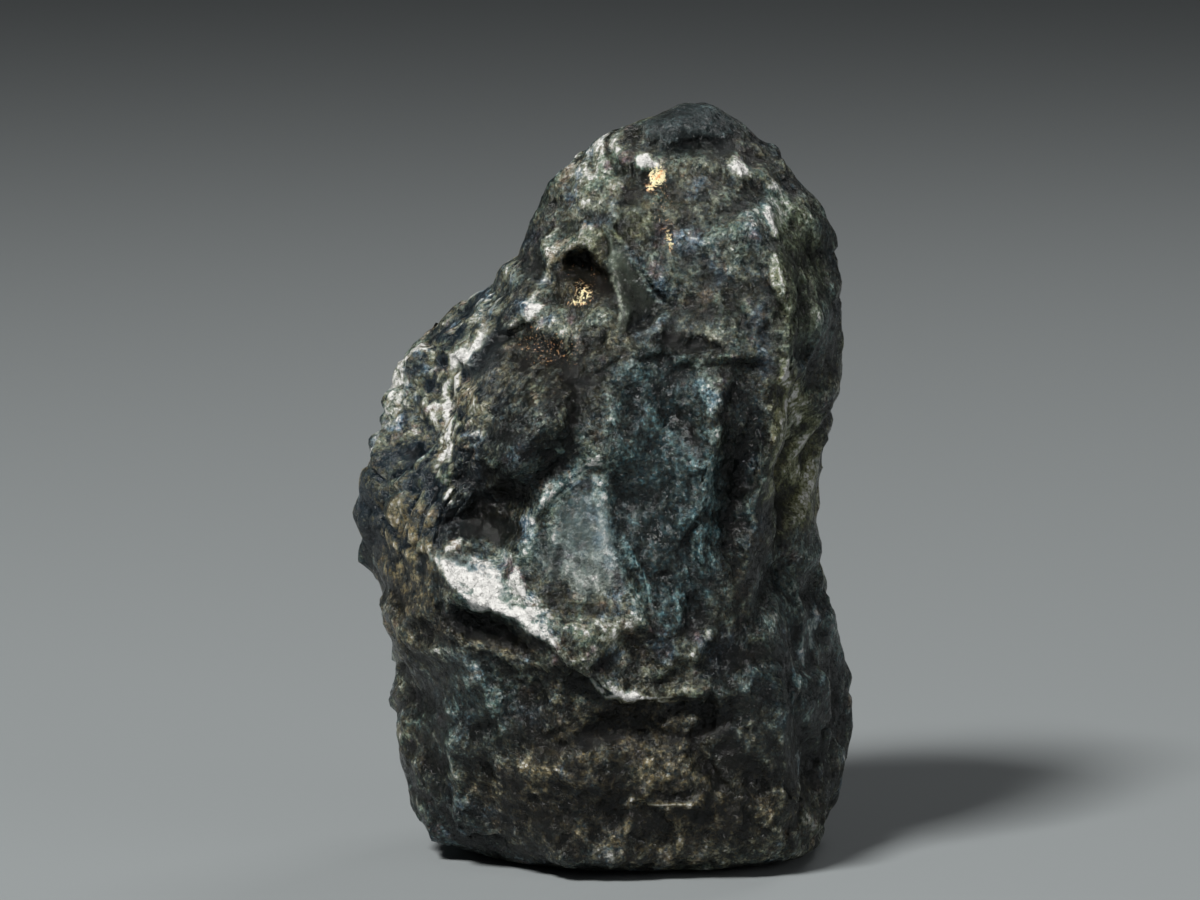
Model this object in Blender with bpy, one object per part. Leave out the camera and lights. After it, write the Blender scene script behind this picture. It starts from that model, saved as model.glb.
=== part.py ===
"""A rough alexandrite crystal: one worn stump, near black, that stands on a small flat spot.

The stone starts as a UV sphere. Its points are moved onto rounded sections between four outlines,
left, right, front and back, and then worked as a carver would work them: crystal faces are sliced
off, lumps raised, and hollows, ledges and grooves cut. Lengths are in millimetres up to the last step.
"""

import math

import bmesh
import bpy
import numpy as np

MM = 0.001

# Driving dimensions, in millimetres
HEIGHT = 12.7
TOP_X, TOP_Y = 0.88, 0.7
FOOT_HALF_X, FOOT_HALF_Y = 2.2, 1.9

# How finely the sphere is divided, around and from the foot to the top
AROUND, UPWARD = 100, 49

# Outlines as (height, distance along the axis), seen from the front (x) and from the side (y)
LEFT = [
    (0.0, -FOOT_HALF_X), (0.05, -2.8), (0.28, -3.15), (0.6, -3.6), (1.0, -3.88), (1.84, -4.12),
    (2.5, -4.22), (3.1, -4.15), (3.7, -4.27), (4.5, -4.49), (5.3, -4.79), (5.75, -4.85),
    (6.7, -4.61), (7.5, -4.36), (7.8, -4.31), (8.2, -4.08), (8.62, -3.42), (8.83, -3.29),
    (9.03, -2.92), (9.85, -2.29), (10.5, -1.9), (11.3, -1.61), (11.9, -1.15), (12.1, -1.0),
    (12.32, -0.56), (12.52, 0.0), (12.68, 0.56), (HEIGHT, TOP_X),
]
RIGHT = [
    (0.0, FOOT_HALF_X), (0.05, 2.9), (0.25, 3.2), (0.55, 3.36), (1.15, 3.54), (1.64, 3.61),
    (2.3, 3.66), (2.9, 3.6), (3.9, 3.33), (4.5, 3.17), (5.13, 3.05), (5.7, 3.02), (6.6, 3.1),
    (7.2, 3.25), (8.4, 3.42), (9.0, 3.44), (9.65, 3.39), (10.26, 3.32), (10.67, 3.17),
    (11.25, 2.66), (11.85, 2.17), (12.25, 1.78), (12.45, 1.47), (12.65, 1.12), (HEIGHT, TOP_X),
]
FRONT = [
    (0.0, -FOOT_HALF_Y), (0.12, -2.3), (0.5, -2.75), (1.5, -3.1), (2.4, -3.2), (3.4, -3.25),
    (4.4, -3.42), (5.5, -3.4), (6.8, -3.2), (8.2, -2.95), (9.5, -2.6), (10.6, -2.15),
    (11.5, -1.5), (12.1, -0.8), (12.5, -0.1), (HEIGHT, TOP_Y),
]
BACK = [
    (0.0, FOOT_HALF_Y), (0.12, 2.3), (0.6, 2.85), (1.8, 3.25), (3.2, 3.38), (4.6, 3.3),
    (5.6, 3.1), (6.6, 2.85), (7.8, 2.75), (9.0, 2.65), (10.2, 2.4), (11.2, 2.0), (12.0, 1.6),
    (12.5, 1.2), (HEIGHT, TOP_Y),
]
SQUARENESS = [(0.0, 2.2), (2.5, 2.7), (7.0, 2.9), (10.0, 2.6), (HEIGHT, 2.1)]

# Crystal and cleavage faces: the outward direction of each and a point that it passes through
FACES = [
    ((0.93, -0.36, 0.0), (2.35, -2.2, 7.5)),
    ((0.55, -0.5, 0.62), (2.3, -0.9, 11.2)),
    ((0.05, -0.94, 0.33), (0.6, -2.5, 9.3)),
    ((-0.64, -0.6, 0.46), (-1.05, -0.95, 11.2)),
    ((-0.66, -0.42, 0.6), (-3.15, -1.3, 8.7)),
    ((-0.84, -0.5, 0.1), (-3.95, -1.8, 6.0)),
    ((-0.62, -0.72, -0.28), (-3.2, -2.15, 2.0)),
    ((0.62, -0.76, -0.12), (2.75, -2.15, 2.3)),
    ((0.78, 0.62, 0.08), (2.75, 1.55, 7.0)),
    ((0.6, 0.7, 0.38), (2.0, 1.5, 10.4)),
    ((-0.12, 0.95, 0.3), (-0.2, 2.65, 9.0)),
    ((-0.72, 0.68, 0.14), (-3.35, 1.65, 6.6)),
    ((-0.6, 0.42, 0.68), (-2.75, 0.95, 9.3)),
    ((-0.66, 0.72, -0.2), (-3.1, 2.1, 2.6)),
    ((0.64, 0.74, -0.2), (2.75, 2.1, 2.4)),
]
EDGE_ROUND = 0.07

# The directions that strokes are made from, as turns about +Z from the front, in degrees
FROM_FRONT, FROM_RIGHT, FROM_BACK, FROM_LEFT = 0, 90, 180, 270


def smooth_curve(points, at):
    """A curve through (position, value) points: cubic pieces whose slopes never overshoot the points."""
    x, y = np.array(points, float).T
    step, rise = np.diff(x), np.diff(y) / np.diff(x)
    slope = np.zeros_like(y)
    same_way = rise[:-1] * rise[1:] > 0
    harmonic = 2 * rise[:-1] * rise[1:] / np.where(same_way, rise[:-1] + rise[1:], 1)
    slope[1:-1] = np.where(same_way, harmonic, 0)
    slope[0], slope[-1] = rise[0], rise[-1]
    piece = np.clip(np.searchsorted(x, at, side="right") - 1, 0, len(x) - 2)
    t = (at - x[piece]) / step[piece]
    leave, arrive = slope[piece] * step[piece], slope[piece + 1] * step[piece]
    start, change = y[piece], y[piece + 1] - y[piece]
    return start + leave * t + (3 * change - 2 * leave - arrive) * t**2 + (leave + arrive - 2 * change) * t**3


def ease(low, high, value):
    """0 below low, 1 above high, and a smooth S between them."""
    t = np.clip((value - low) / (high - low), 0, 1)
    return t * t * (3 - 2 * t)


def tumbled(points, seed):
    """The points turned by a random rotation, so that no layer of noise lines up with the axes."""
    turn, _ = np.linalg.qr(np.random.default_rng(seed).normal(size=(3, 3)))
    return points @ turn


def lattice_noise(points, size, seed):
    """Gradient noise from about -1 to 1: random slopes at the corners of cubes of this size, blended."""
    rng = np.random.default_rng(seed)
    slopes, shuffle = rng.normal(size=(256, 3)), rng.permutation(256)
    slopes /= np.linalg.norm(slopes, axis=1)[:, None]
    p = tumbled(points, seed) / size
    cube = np.floor(p).astype(int)
    inside = p - cube
    fade = inside**3 * (inside * (inside * 6 - 15) + 10)
    total = np.zeros(len(p))
    for corner in np.ndindex(2, 2, 2):
        i, j, k = (cube + corner).T
        hashed = shuffle[(shuffle[(shuffle[i & 255] + j) & 255] + k) & 255]
        weight = np.prod(np.where(corner, fade, 1 - fade), axis=1)
        total += weight * np.einsum("ij,ij->i", slopes[hashed], inside - corner)
    return total * 1.6


def cell_distances(points, size, seed):
    """Distances to the nearest and second nearest of many scattered hearts, one to each cube of this size."""
    rng = np.random.default_rng(seed)
    hearts, shuffle = rng.random((256, 3)), rng.permutation(256)
    p = tumbled(points, seed) / size
    cube = np.floor(p).astype(int)
    nearest, second = np.full(len(p), 9.0), np.full(len(p), 9.0)
    for step in np.ndindex(3, 3, 3):
        neighbour = cube + step - 1
        i, j, k = neighbour.T
        hashed = shuffle[(shuffle[(shuffle[i & 255] + j) & 255] + k) & 255]
        distance = np.linalg.norm(neighbour + hearts[hashed] - p, axis=1)
        second = np.minimum(second, np.maximum(nearest, distance))
        nearest = np.minimum(nearest, distance)
    return nearest, second


def nodules(points, size, seed):
    """Rounded nodules packed side by side: 1 at the heart of each, 0 in the creases between them."""
    nearest, second = cell_distances(points, size, seed)
    return np.sqrt(np.clip((second - nearest) * 1.4, 0, 1))


def scoops(points, size, seed):
    """Shallow dishes packed side by side, 0 at the heart of each, with sharp ridges where they meet."""
    nearest, _ = cell_distances(points, size, seed)
    return nearest**2


def chips(points, size, seed, blend=0.22):
    """Flat chips at random tilts: in each cell the height grows along one random direction from its heart.

    Near a border the heights of the two nearest cells are mixed, so that the chips join without a gap.
    """
    rng = np.random.default_rng(seed)
    hearts, tilts, shuffle = rng.random((256, 3)), rng.normal(size=(256, 3)), rng.permutation(256)
    tilts /= np.linalg.norm(tilts, axis=1)[:, None]
    p = tumbled(points, seed) / size
    cube = np.floor(p).astype(int)
    nearest, second = np.full(len(p), 9.0), np.full(len(p), 9.0)
    height, beside = np.zeros(len(p)), np.zeros(len(p))
    for step in np.ndindex(3, 3, 3):
        neighbour = cube + step - 1
        i, j, k = neighbour.T
        hashed = shuffle[(shuffle[(shuffle[i & 255] + j) & 255] + k) & 255]
        offset = p - neighbour - hearts[hashed]
        distance = np.linalg.norm(offset, axis=1)
        here = np.einsum("ij,ij->i", tilts[hashed], offset)
        first, runner_up = distance < nearest, (distance >= nearest) & (distance < second)
        beside = np.where(first, height, np.where(runner_up, here, beside))
        second = np.where(first, nearest, np.where(runner_up, distance, second))
        height = np.where(first, here, height)
        nearest = np.where(first, distance, nearest)
    share = 0.5 - 0.5 * ease(0, blend, second - nearest)
    return height * (1 - share) + beside * share


def terraces(points, size, seed, scarp=0.12):
    """Flat steps, one unit high, with short steep scarps that follow irregular lines."""
    level = 1.6 * lattice_noise(points, size, seed)
    whole = np.floor(level)
    return whole + ease(0.5 - scarp, 0.5 + scarp, level - whole)


def heights_up_the_side(share):
    """Heights and foot radii for shares of the way from the foot's centre, out over it and up the side.

    The way is measured along the mean of the four outlines, so that rings of points are evenly spaced.
    """
    z = HEIGHT * (1 - np.cos(np.linspace(0, math.pi, 800))) / 2
    wide, thick = smooth_curve(RIGHT, z) - smooth_curve(LEFT, z), smooth_curve(BACK, z) - smooth_curve(FRONT, z)
    radius = (wide + thick) / 4
    along = np.concatenate([[0], np.cumsum(np.hypot(np.diff(z), np.diff(radius)))])
    foot = radius[0]
    way = share * (foot + along[-1])
    return np.interp(way - foot, along, z), np.clip(way / foot, 0, 1)


def section_points(angle, share):
    """The plain stone: at each height a rounded rectangle that reaches the four outlines."""
    z, spread = heights_up_the_side(share)
    left, right, front, back = (smooth_curve(line, z) for line in (LEFT, RIGHT, FRONT, BACK))
    power = 2 / smooth_curve(SQUARENESS, z)
    c, s = np.cos(angle), np.sin(angle)
    centre_x, centre_y = (left + right) / 2, (front + back) / 2
    x = centre_x + spread * (right - left) / 2 * np.sign(c) * np.abs(c) ** power
    y = centre_y + spread * (back - front) / 2 * np.sign(s) * np.abs(s) ** power
    return np.stack([x, y, z], axis=1)


def outward_directions(angle, share):
    """Normals of the plain stone, from its slopes around and up."""
    small = 1e-4
    share = np.clip(share, 0.01, 0.99)
    around = section_points(angle + small, share) - section_points(angle - small, share)
    upward = section_points(angle, share + small) - section_points(angle, share - small)
    normal = np.cross(around, upward)
    return normal / np.linalg.norm(normal, axis=1)[:, None]


def slice_faces(points):
    """Moves what lies outside each face straight back onto it, with the edges slightly rounded."""
    free = above_foot(points)
    for direction, through in FACES:
        n = np.array(direction) / np.linalg.norm(direction)
        proud = (points - np.array(through)) @ n / EDGE_ROUND
        cut = EDGE_ROUND * np.where(proud > 20, proud, np.log1p(np.exp(np.minimum(proud, 20))))
        points = points - np.outer(cut * free, n)
    return points


# Lumps, steps and dishes as (size, height, seed), in millimetres
LUMPS = [(3.2, 0.22, 11), (1.6, 0.1, 12)]
STEPS = [(2.4, 0.17, 31), (1.3, 0.05, 32)]
DISHES = [(1.9, 0.42, 41), (0.95, 0.13, 42)]
# Tilted chips as (size, slope, seed)
CHIPS = [(1.7, 0.11, 43), (0.8, 0.11, 44)]
SHOULDER_NODULES = (0.62, 0.2, 14)


def on_shoulder(points):
    """1 on the knobbly shoulder that slopes up to the left, 0 elsewhere."""
    x, y, z = points.T
    slope = ease(-1.7, -2.9, x + 0.22 * (9.5 - z)) * ease(1.6, 0.4, y)
    return slope * ease(4.2, 6.0, z) * ease(11.5, 10.0, z)


def above_foot(points):
    """0 on the flat foot and 1 a little above it, so that the stone still stands."""
    return ease(0.0, 0.5, points[:, 2])


def below_top(points):
    """1 on the body and 0.3 on the knob, which is worn smooth."""
    return 1 - 0.7 * ease(11.8, 12.4, points[:, 2])


def add_lumps(points, normals):
    """Broad lumps, before the faces are sliced off."""
    height = sum(high * lattice_noise(points, size, seed) for size, high, seed in LUMPS)
    return points + normals * (height * above_foot(points))[:, None]


def break_surface(points, normals):
    """Steps, dishes and chips where the stone has broken, and the shoulder's nodules."""
    warped = points + 0.25 * np.stack([lattice_noise(points, 1.2, seed) for seed in (51, 52, 53)], axis=1)
    elsewhere = 1 - 0.55 * ease(0.3, 0.8, -normals[:, 1])
    height = sum(high * terraces(warped, size, seed) for size, high, seed in STEPS) * elsewhere
    height += sum(high * (scoops(warped, size, seed) - 0.3) for size, high, seed in DISHES) * elsewhere
    height += sum(size * slope * chips(warped, size, seed) for size, slope, seed in CHIPS)
    shoulder = on_shoulder(points)
    size, high, seed = SHOULDER_NODULES
    height = height * (1 - 0.6 * shoulder) + shoulder * high * (nodules(warped, size, seed) - 0.6)
    return points + normals * (height * above_foot(points) * below_top(points))[:, None]


def viewer_axes(turn):
    """Unit vectors for someone who looks at the stone from this turn: towards them, and to their right."""
    a = math.radians(turn)
    return np.array([math.sin(a), -math.cos(a), 0]), np.array([math.cos(a), math.sin(a), 0])


def inside_outline(corners, across, up):
    """How far each place is inside a convex outline, in millimetres, with its corners anticlockwise."""
    corners = np.array(corners, float)
    depth = np.full(len(across), np.inf)
    for (ax, az), (bx, bz) in zip(corners, np.roll(corners, -1, axis=0)):
        length = math.hypot(bx - ax, bz - az)
        depth = np.minimum(depth, ((bx - ax) * (up - az) - (bz - az) * (across - ax)) / length)
    return depth


def from_line(points, across, up):
    """Signed distance to a line of points, positive on its left, and the share of the way along it."""
    points = np.array(points, float)
    lengths = np.hypot(*np.diff(points, axis=0).T)
    starts = np.concatenate([[0], np.cumsum(lengths)])
    best, share = np.full(len(across), np.inf), np.zeros(len(across))
    for (ax, az), (bx, bz), length, start in zip(points[:-1], points[1:], lengths, starts):
        dx, dz = (bx - ax) / length, (bz - az) / length
        t = np.clip((across - ax) * dx + (up - az) * dz, 0, length)
        gap_x, gap_z = across - ax - t * dx, up - az - t * dz
        distance = np.hypot(gap_x, gap_z)
        side = np.where(dx * gap_z - dz * gap_x >= 0, 1.0, -1.0)
        nearer = distance < np.abs(best)
        best = np.where(nearer, side * distance, best)
        share = np.where(nearer, (start + t) / starts[-1], share)
    return best, share


# Strokes. Each takes the places on one side of the stone and gives how far each one moves outwards.


def flat_face(place, corners, border=0.2):
    """A flat cleavage face: inside the corners the surface lies on the plane of the first three."""
    corners = np.array(corners, float)
    plane = np.linalg.solve(np.c_[corners[:3, :2], np.ones(3)], corners[:3, 2])
    target = plane[0] * place["across"] + plane[1] * place["up"] + plane[2]
    inside = inside_outline(corners[:, :2], place["across"], place["up"])
    return (target - place["depth"]) * ease(-border, border, inside)


def hollow(place, centre, half_size, deep, turn=0, edge=2):
    """An oval hollow, or with a negative depth an oval lump. A low edge number gives steep sides."""
    a = math.radians(turn)
    dx, dz = place["across"] - centre[0], place["up"] - centre[1]
    u, v = dx * math.cos(a) + dz * math.sin(a), dz * math.cos(a) - dx * math.sin(a)
    room = 1 - (u / half_size[0]) ** 2 - (v / half_size[1]) ** 2
    return -deep * np.clip(room, 0, 1) ** edge


def ledge(place, line, high, gentle, steep):
    """A crest along the line that falls away gently on its left and steeply on its right."""
    distance, share = from_line(line, place["across"], place["up"])
    left = np.clip(1 - distance / gentle, 0, 1) ** 2
    right = np.clip(1 + distance / steep, 0, 1)
    ends = ease(0, 0.12, share) * ease(0, 0.12, 1 - share)
    return high * np.where(distance >= 0, left, right) * ends


def groove(place, line, wide, deep):
    """A narrow cut along the line, wide from edge to edge and deep in its middle."""
    distance, _ = from_line(line, place["across"], place["up"])
    return -deep * np.clip(1 - (2 * distance / wide) ** 2, 0, 1) ** 2


# The lip of the upper mass runs from the left ledge down through its lowest point and up to the right.
LIP = [
    (-3.6, 5.5), (-3.14, 5.1), (-2.65, 4.85), (-2.0, 4.6), (-1.5, 4.22), (-1.2, 3.8),
    (-0.84, 3.45), (-0.43, 3.22), (0.14, 3.08), (0.8, 3.25), (1.2, 3.7),
]

FRONT_STROKES = [
    # The upper face: a step across it, the chipped triangle, the deep notch, small cavities
    (ledge, [(-0.5, 8.75), (0.2, 8.95), (0.9, 8.72), (1.9, 8.8)], 0.16, 0.9, 0.14),
    (flat_face, [(-0.6, 10.85, 2.0), (-0.43, 9.15, 2.44), (0.4, 9.55, 2.12)], 0.05),
    (ledge, [(-1.75, 10.0), (-1.3, 10.4), (-0.63, 10.75), (-0.3, 11.2)], 0.12, 0.6, 0.12),
    (hollow, (-1.02, 10.12), (0.42, 0.34), 0.5, -14, 1.5),
    (hollow, (-0.82, 9.98), (0.26, 0.26), 0.25, 0, 1.4),
    (flat_face, [(-1.2, 9.25, 2.28), (-1.1, 8.75, 2.42), (-0.75, 8.8, 2.6), (-0.8, 9.2, 0)], 0.06),
    (groove, [(0.3, 9.08), (0.55, 8.9), (0.78, 8.98), (1.05, 8.84)], 0.34, 0.14),
    (hollow, (-0.56, 11.85), (0.12, 0.2), 0.14, -15, 1.2),
    # The knob on the top with the creases around it
    (groove, [(-0.2, 12.6), (-0.13, 12.3), (-0.2, 12.0), (-0.12, 11.75)], 0.22, 0.2),
    (hollow, (0.85, 12.55), (0.85, 0.5), -0.2, 0, 1.4),
    (groove, [(0.08, 12.4), (0.3, 12.12), (0.8, 12.0), (1.35, 12.08), (1.75, 12.4)], 0.32, 0.12),
    (ledge, [(1.5, 12.0), (1.7, 11.6), (1.6, 11.2)], 0.12, 0.3, 0.2),
    # The teal trough, the crest on its right and the dark glassy groove along the right edge
    (hollow, (0.35, 6.7), (0.95, 2.3), 0.32, 3, 1.2),
    (ledge, [(1.25, 5.0), (1.1, 6.2), (1.2, 7.4), (1.1, 8.6)], 0.13, 0.35, 0.2),
    (hollow, (1.68, 6.8), (0.46, 2.0), 0.26, 3, 1.2),
    (ledge, [(2.1, 5.2), (2.2, 6.6), (2.1, 7.9), (2.3, 9.0), (2.12, 10.0), (2.35, 11.2)], 0.16, 0.4, 0.3),
    # The barrel: proud above, black recess below, with the slot above it and the ridge on its left
    (hollow, (-2.15, 7.9), (1.05, 1.05), -0.6, 8, 0.8),
    (hollow, (-2.45, 6.0), (1.0, 1.15), 1.05, 20, 1.4),
    (hollow, (-1.9, 6.6), (0.6, 0.5), 0.3, 0, 1.5),
    (groove, [(-2.95, 8.25), (-2.73, 8.6), (-2.35, 8.9), (-2.0, 9.15)], 0.4, 0.3),
    (ledge, [(-2.9, 8.9), (-3.14, 8.2), (-3.2, 7.6), (-3.1, 6.8), (-2.95, 6.0)], 0.18, 0.5, 0.5),
    # The face in the middle and the bright ledge on its left
    (flat_face, [(-0.98, 7.1, 2.95), (-2.05, 5.55, 3.17), (-1.6, 4.6, 3.41), (0.1, 4.4, 0), (-0.3, 5.9, 0)],
     0.13),
    (flat_face, [(-3.45, 5.65, 2.62), (-3.1, 5.05, 2.98), (-1.4, 4.15, 3.68), (-2.15, 5.3, 0)], 0.12),
    # The lip, the undercut at its left end, the dark band below and the ridges at its right end
    (ledge, LIP, 0.24, 0.6, 0.12),
    (ledge, [(-0.3, 3.55), (0.1, 3.58), (0.35, 3.85), (0.8, 3.82), (1.0, 4.15), (1.35, 4.35)],
     0.15, 0.4, 0.16),
    (hollow, (-2.5, 4.35), (1.0, 0.42), 0.5, -27, 1.1),
    (hollow, (-0.1, 2.75), (1.9, 0.45), 0.24, 6, 1.2),
    # The lower body: two domes, a crease between them, and a small chipped ridge
    (hollow, (-3.0, 2.9), (1.05, 1.3), -0.3),
    (hollow, (2.2, 2.65), (1.3, 1.1), -0.3, -8),
    (groove, [(0.95, 3.1), (0.85, 2.5), (1.1, 1.7)], 0.4, 0.16),
    (hollow, (2.6, 4.9), (0.6, 0.7), 0.25, 0, 1.3),
    (ledge, [(-0.2, 1.5), (0.3, 1.3), (0.9, 1.3)], 0.14, 0.3, 0.12),
]

RIGHT_STROKES = [
    (hollow, (-1.35, 7.2), (0.85, 1.6), 0.4, 6, 1.3),
    (hollow, (-1.2, 4.9), (0.9, 0.6), 0.3, -15),
    (hollow, (1.1, 5.9), (0.9, 1.4), 0.3, -12, 1.7),
]

BACK_STROKES = [
    (ledge, [(-3.2, 4.6), (-1.8, 4.2), (-0.4, 4.9), (1.0, 4.5), (2.4, 5.2)], 0.26, 1.2, 0.3),
    (hollow, (1.2, 9.0), (1.1, 0.8), 0.45, -30, 1.5),
    (hollow, (-1.2, 6.4), (0.8, 1.5), 0.4, 12, 1.5),
]

LEFT_STROKES = [
    (hollow, (0.9, 7.6), (0.8, 1.2), 0.35, 20, 1.5),
    (hollow, (-0.6, 4.3), (1.6, 0.5), 0.25, 12, 1.5),
]

SIDES = [
    (FROM_FRONT, FRONT_STROKES),
    (FROM_RIGHT, RIGHT_STROKES),
    (FROM_BACK, BACK_STROKES),
    (FROM_LEFT, LEFT_STROKES),
]
WAVER = [(1.1, 0.14, 21), (0.45, 0.06, 23)]


def carve_side(points, normals, turn, strokes):
    """Makes the strokes from one side, fading where the surface turns away from it.

    The places waver by a little noise, so that no stroke has a straight edge or a true oval.
    """
    viewer, right = viewer_axes(turn)
    facing = ease(0.12, 0.5, normals @ viewer) * ease(0.05, 0.5, points[:, 2])
    place = {"across": points @ right, "up": points[:, 2].copy(), "depth": points @ viewer}
    for size, far, seed in WAVER:
        place["across"] += far * lattice_noise(points, size, seed)
        place["up"] += far * lattice_noise(points, size, seed + 1)
    for stroke, *sizes in strokes:
        place["depth"] = place["depth"] + stroke(place, *sizes) * facing
    return points + np.outer(place["depth"] - points @ viewer, viewer)


def match_outlines(points, share):
    """Stretches the rings of points sideways until the stone fills its left and right outlines again."""
    shares, ring = np.unique(np.round(share, 6), return_inverse=True)
    x, z = points[:, 0], points[:, 2]
    low, high = np.full(len(shares), 99.0), np.full(len(shares), -99.0)
    np.minimum.at(low, ring, x)
    np.maximum.at(high, ring, x)
    height = np.bincount(ring, z) / np.bincount(ring)
    reach = max(1, len(shares) // 40)
    window = np.ones(2 * reach + 1) / (2 * reach + 1)
    gaps = []
    for wanted, found in ((smooth_curve(LEFT, height), low), (smooth_curve(RIGHT, height), high)):
        padded = np.pad(wanted - found, reach, mode="edge")
        gaps.append(np.convolve(padded, window, mode="valid"))
    across = (x - low[ring]) / np.maximum((high - low)[ring], 0.01)
    settled = ease(0.0, 0.5, z) * ease(HEIGHT, HEIGHT - 0.6, z)
    x_new = x + settled * ((1 - across) * gaps[0][ring] + across * gaps[1][ring])
    return np.stack([x_new, points[:, 1], z], axis=1)


def stone_points(angle, share):
    """Every step of the stone's surface, for points given by their angle and share of the way up."""
    plain = section_points(angle, share)
    normals = outward_directions(angle, share)
    points = slice_faces(add_lumps(plain, normals))
    points = break_surface(points, normals)
    for turn, strokes in SIDES:
        points = carve_side(points, normals, turn, strokes)
    points = match_outlines(points, share)
    points[:, 2] = np.clip(points[:, 2], 0, None)
    return points


def worn_points(angle, share):
    """The surface as the coarse mesh needs it: each point is a weighted mean over its own neighbourhood."""
    turn, rise = 2 * math.pi / AROUND, 1 / UPWARD
    inwards = np.clip(np.minimum(share, 1 - share) / (3 * rise), 0, 1)
    offsets = np.linspace(-0.6, 0.6, 5)
    weights = np.array([1, 2, 3, 2, 1]) / 9
    mean = np.zeros((len(angle), 3))
    for sideways, near in zip(offsets, weights):
        for upwards, level in zip(offsets, weights):
            moved = stone_points(angle + sideways * turn * inwards, share + upwards * rise * inwards)
            mean += near * level * moved
    return mean


def build_crystal(collection):
    """The stone itself, from a unit UV sphere whose longitudes and latitudes say where each point goes."""
    shape = bmesh.new()
    bmesh.ops.create_uvsphere(shape, u_segments=AROUND, v_segments=UPWARD, radius=1)
    mesh = bpy.data.meshes.new("alexandrite_crystal")
    shape.to_mesh(mesh)
    shape.free()
    unit = np.zeros(len(mesh.vertices) * 3)
    mesh.vertices.foreach_get("co", unit)
    unit = unit.reshape(-1, 3)
    angle = np.arctan2(unit[:, 1], unit[:, 0])
    share = np.arccos(np.clip(-unit[:, 2], -1, 1)) / math.pi
    mesh.vertices.foreach_set("co", (worn_points(angle, share) * MM).ravel())
    mesh.shade_smooth()
    mesh.set_sharp_from_angle(angle=math.radians(35))
    crystal = bpy.data.objects.new("alexandrite_crystal", mesh)
    collection.objects.link(crystal)
    return crystal


def make_alexandrite_material():
    """Dark blue-green chrysoberyl, dull where it is worn and glassy where it is broken."""
    material = bpy.data.materials.new("rough_alexandrite")
    material.use_nodes = True
    shader = material.node_tree.nodes["Principled BSDF"]
    shader.inputs["Base Color"].default_value = (0.03, 0.042, 0.045, 1)
    shader.inputs["Roughness"].default_value = 0.32
    shader.inputs["Metallic"].default_value = 0.0
    shader.inputs["IOR"].default_value = 1.75
    return material


def main():
    for obj in list(bpy.data.objects):
        bpy.data.objects.remove(obj, do_unlink=True)
    stone = bpy.data.collections.new("alexandrite")
    bpy.context.scene.collection.children.link(stone)
    crystal = build_crystal(stone)
    crystal.data.materials.append(make_alexandrite_material())


if __name__ == "__main__":
    main()
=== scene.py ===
# %% [markdown]
# # A rough alexandrite crystal
#
# This lesson dresses one small piece of rough chrysoberyl: a worn stump, 12.7 mm tall, near black, with a
# frosted skin on its upper left and a few glassy faces. It grew as one piece, so it stays one mesh.
# It could be sculpted with brushes, but then no number could be read or changed afterwards. So a fine skin is
# worked out with numpy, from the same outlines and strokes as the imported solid, and stands for that solid.

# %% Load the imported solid
import math

import bpy
import numpy as np
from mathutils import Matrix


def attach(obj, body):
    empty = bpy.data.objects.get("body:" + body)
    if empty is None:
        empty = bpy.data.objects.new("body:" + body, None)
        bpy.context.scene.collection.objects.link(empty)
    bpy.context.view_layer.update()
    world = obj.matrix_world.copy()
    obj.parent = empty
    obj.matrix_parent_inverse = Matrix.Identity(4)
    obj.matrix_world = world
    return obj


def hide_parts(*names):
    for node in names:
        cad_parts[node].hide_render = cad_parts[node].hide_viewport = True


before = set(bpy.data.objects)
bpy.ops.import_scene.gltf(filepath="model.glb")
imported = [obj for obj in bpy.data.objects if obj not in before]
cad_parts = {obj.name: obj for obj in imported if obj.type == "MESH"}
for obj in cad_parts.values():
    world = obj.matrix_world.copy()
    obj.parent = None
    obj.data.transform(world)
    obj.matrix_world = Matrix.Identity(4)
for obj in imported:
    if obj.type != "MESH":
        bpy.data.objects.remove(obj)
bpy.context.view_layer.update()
MM = 0.001
print("nodes:", sorted(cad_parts))

# %% [markdown]
# ## Camera
#
# A stone this small is photographed from close by with a long lens, a little above its middle. A constraint
# could aim the camera, but one turn about X does the same. Lengths are written in millimetres and turned into
# Blender's metres at the last moment.

# %% The camera
CAMERA_FAR = 100.0
CAMERA_RISE = math.radians(8)
LOOK_AT = (-0.68, 0.0, 6.874)
PIXELS_PER_MM = 59
IMAGE_WIDTH = 1200
SENSOR_WIDTH = 36


def add_object(name, data):
    """A new object with this data, in the scene."""
    thing = bpy.data.objects.new(name, data)
    bpy.context.scene.collection.objects.link(thing)
    return thing


camera_data = bpy.data.cameras.new("camera")
camera_data.sensor_width = SENSOR_WIDTH
camera_data.lens = SENSOR_WIDTH * CAMERA_FAR * PIXELS_PER_MM / IMAGE_WIDTH
camera_data.clip_start = 0.005
camera_data.clip_end = 5
camera = add_object("camera", camera_data)
camera.location = (
    LOOK_AT[0] * MM,
    -CAMERA_FAR * math.cos(CAMERA_RISE) * MM,
    (LOOK_AT[2] + CAMERA_FAR * math.sin(CAMERA_RISE)) * MM,
)
camera.rotation_euler = (math.pi / 2 - CAMERA_RISE, 0, 0)
bpy.context.scene.camera = camera
print("lens", round(camera_data.lens, 1), "mm")

# %% [markdown]
# ## Helpers for shape
#
# Everything below is a formula on whole arrays of points. A curve joins a few heights read off the stone: an
# ordinary spline would swing past them, so its slopes are held back. An S-shaped ease fades one thing into
# another.

# %% Curves and eases
HEIGHT = 12.7


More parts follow.
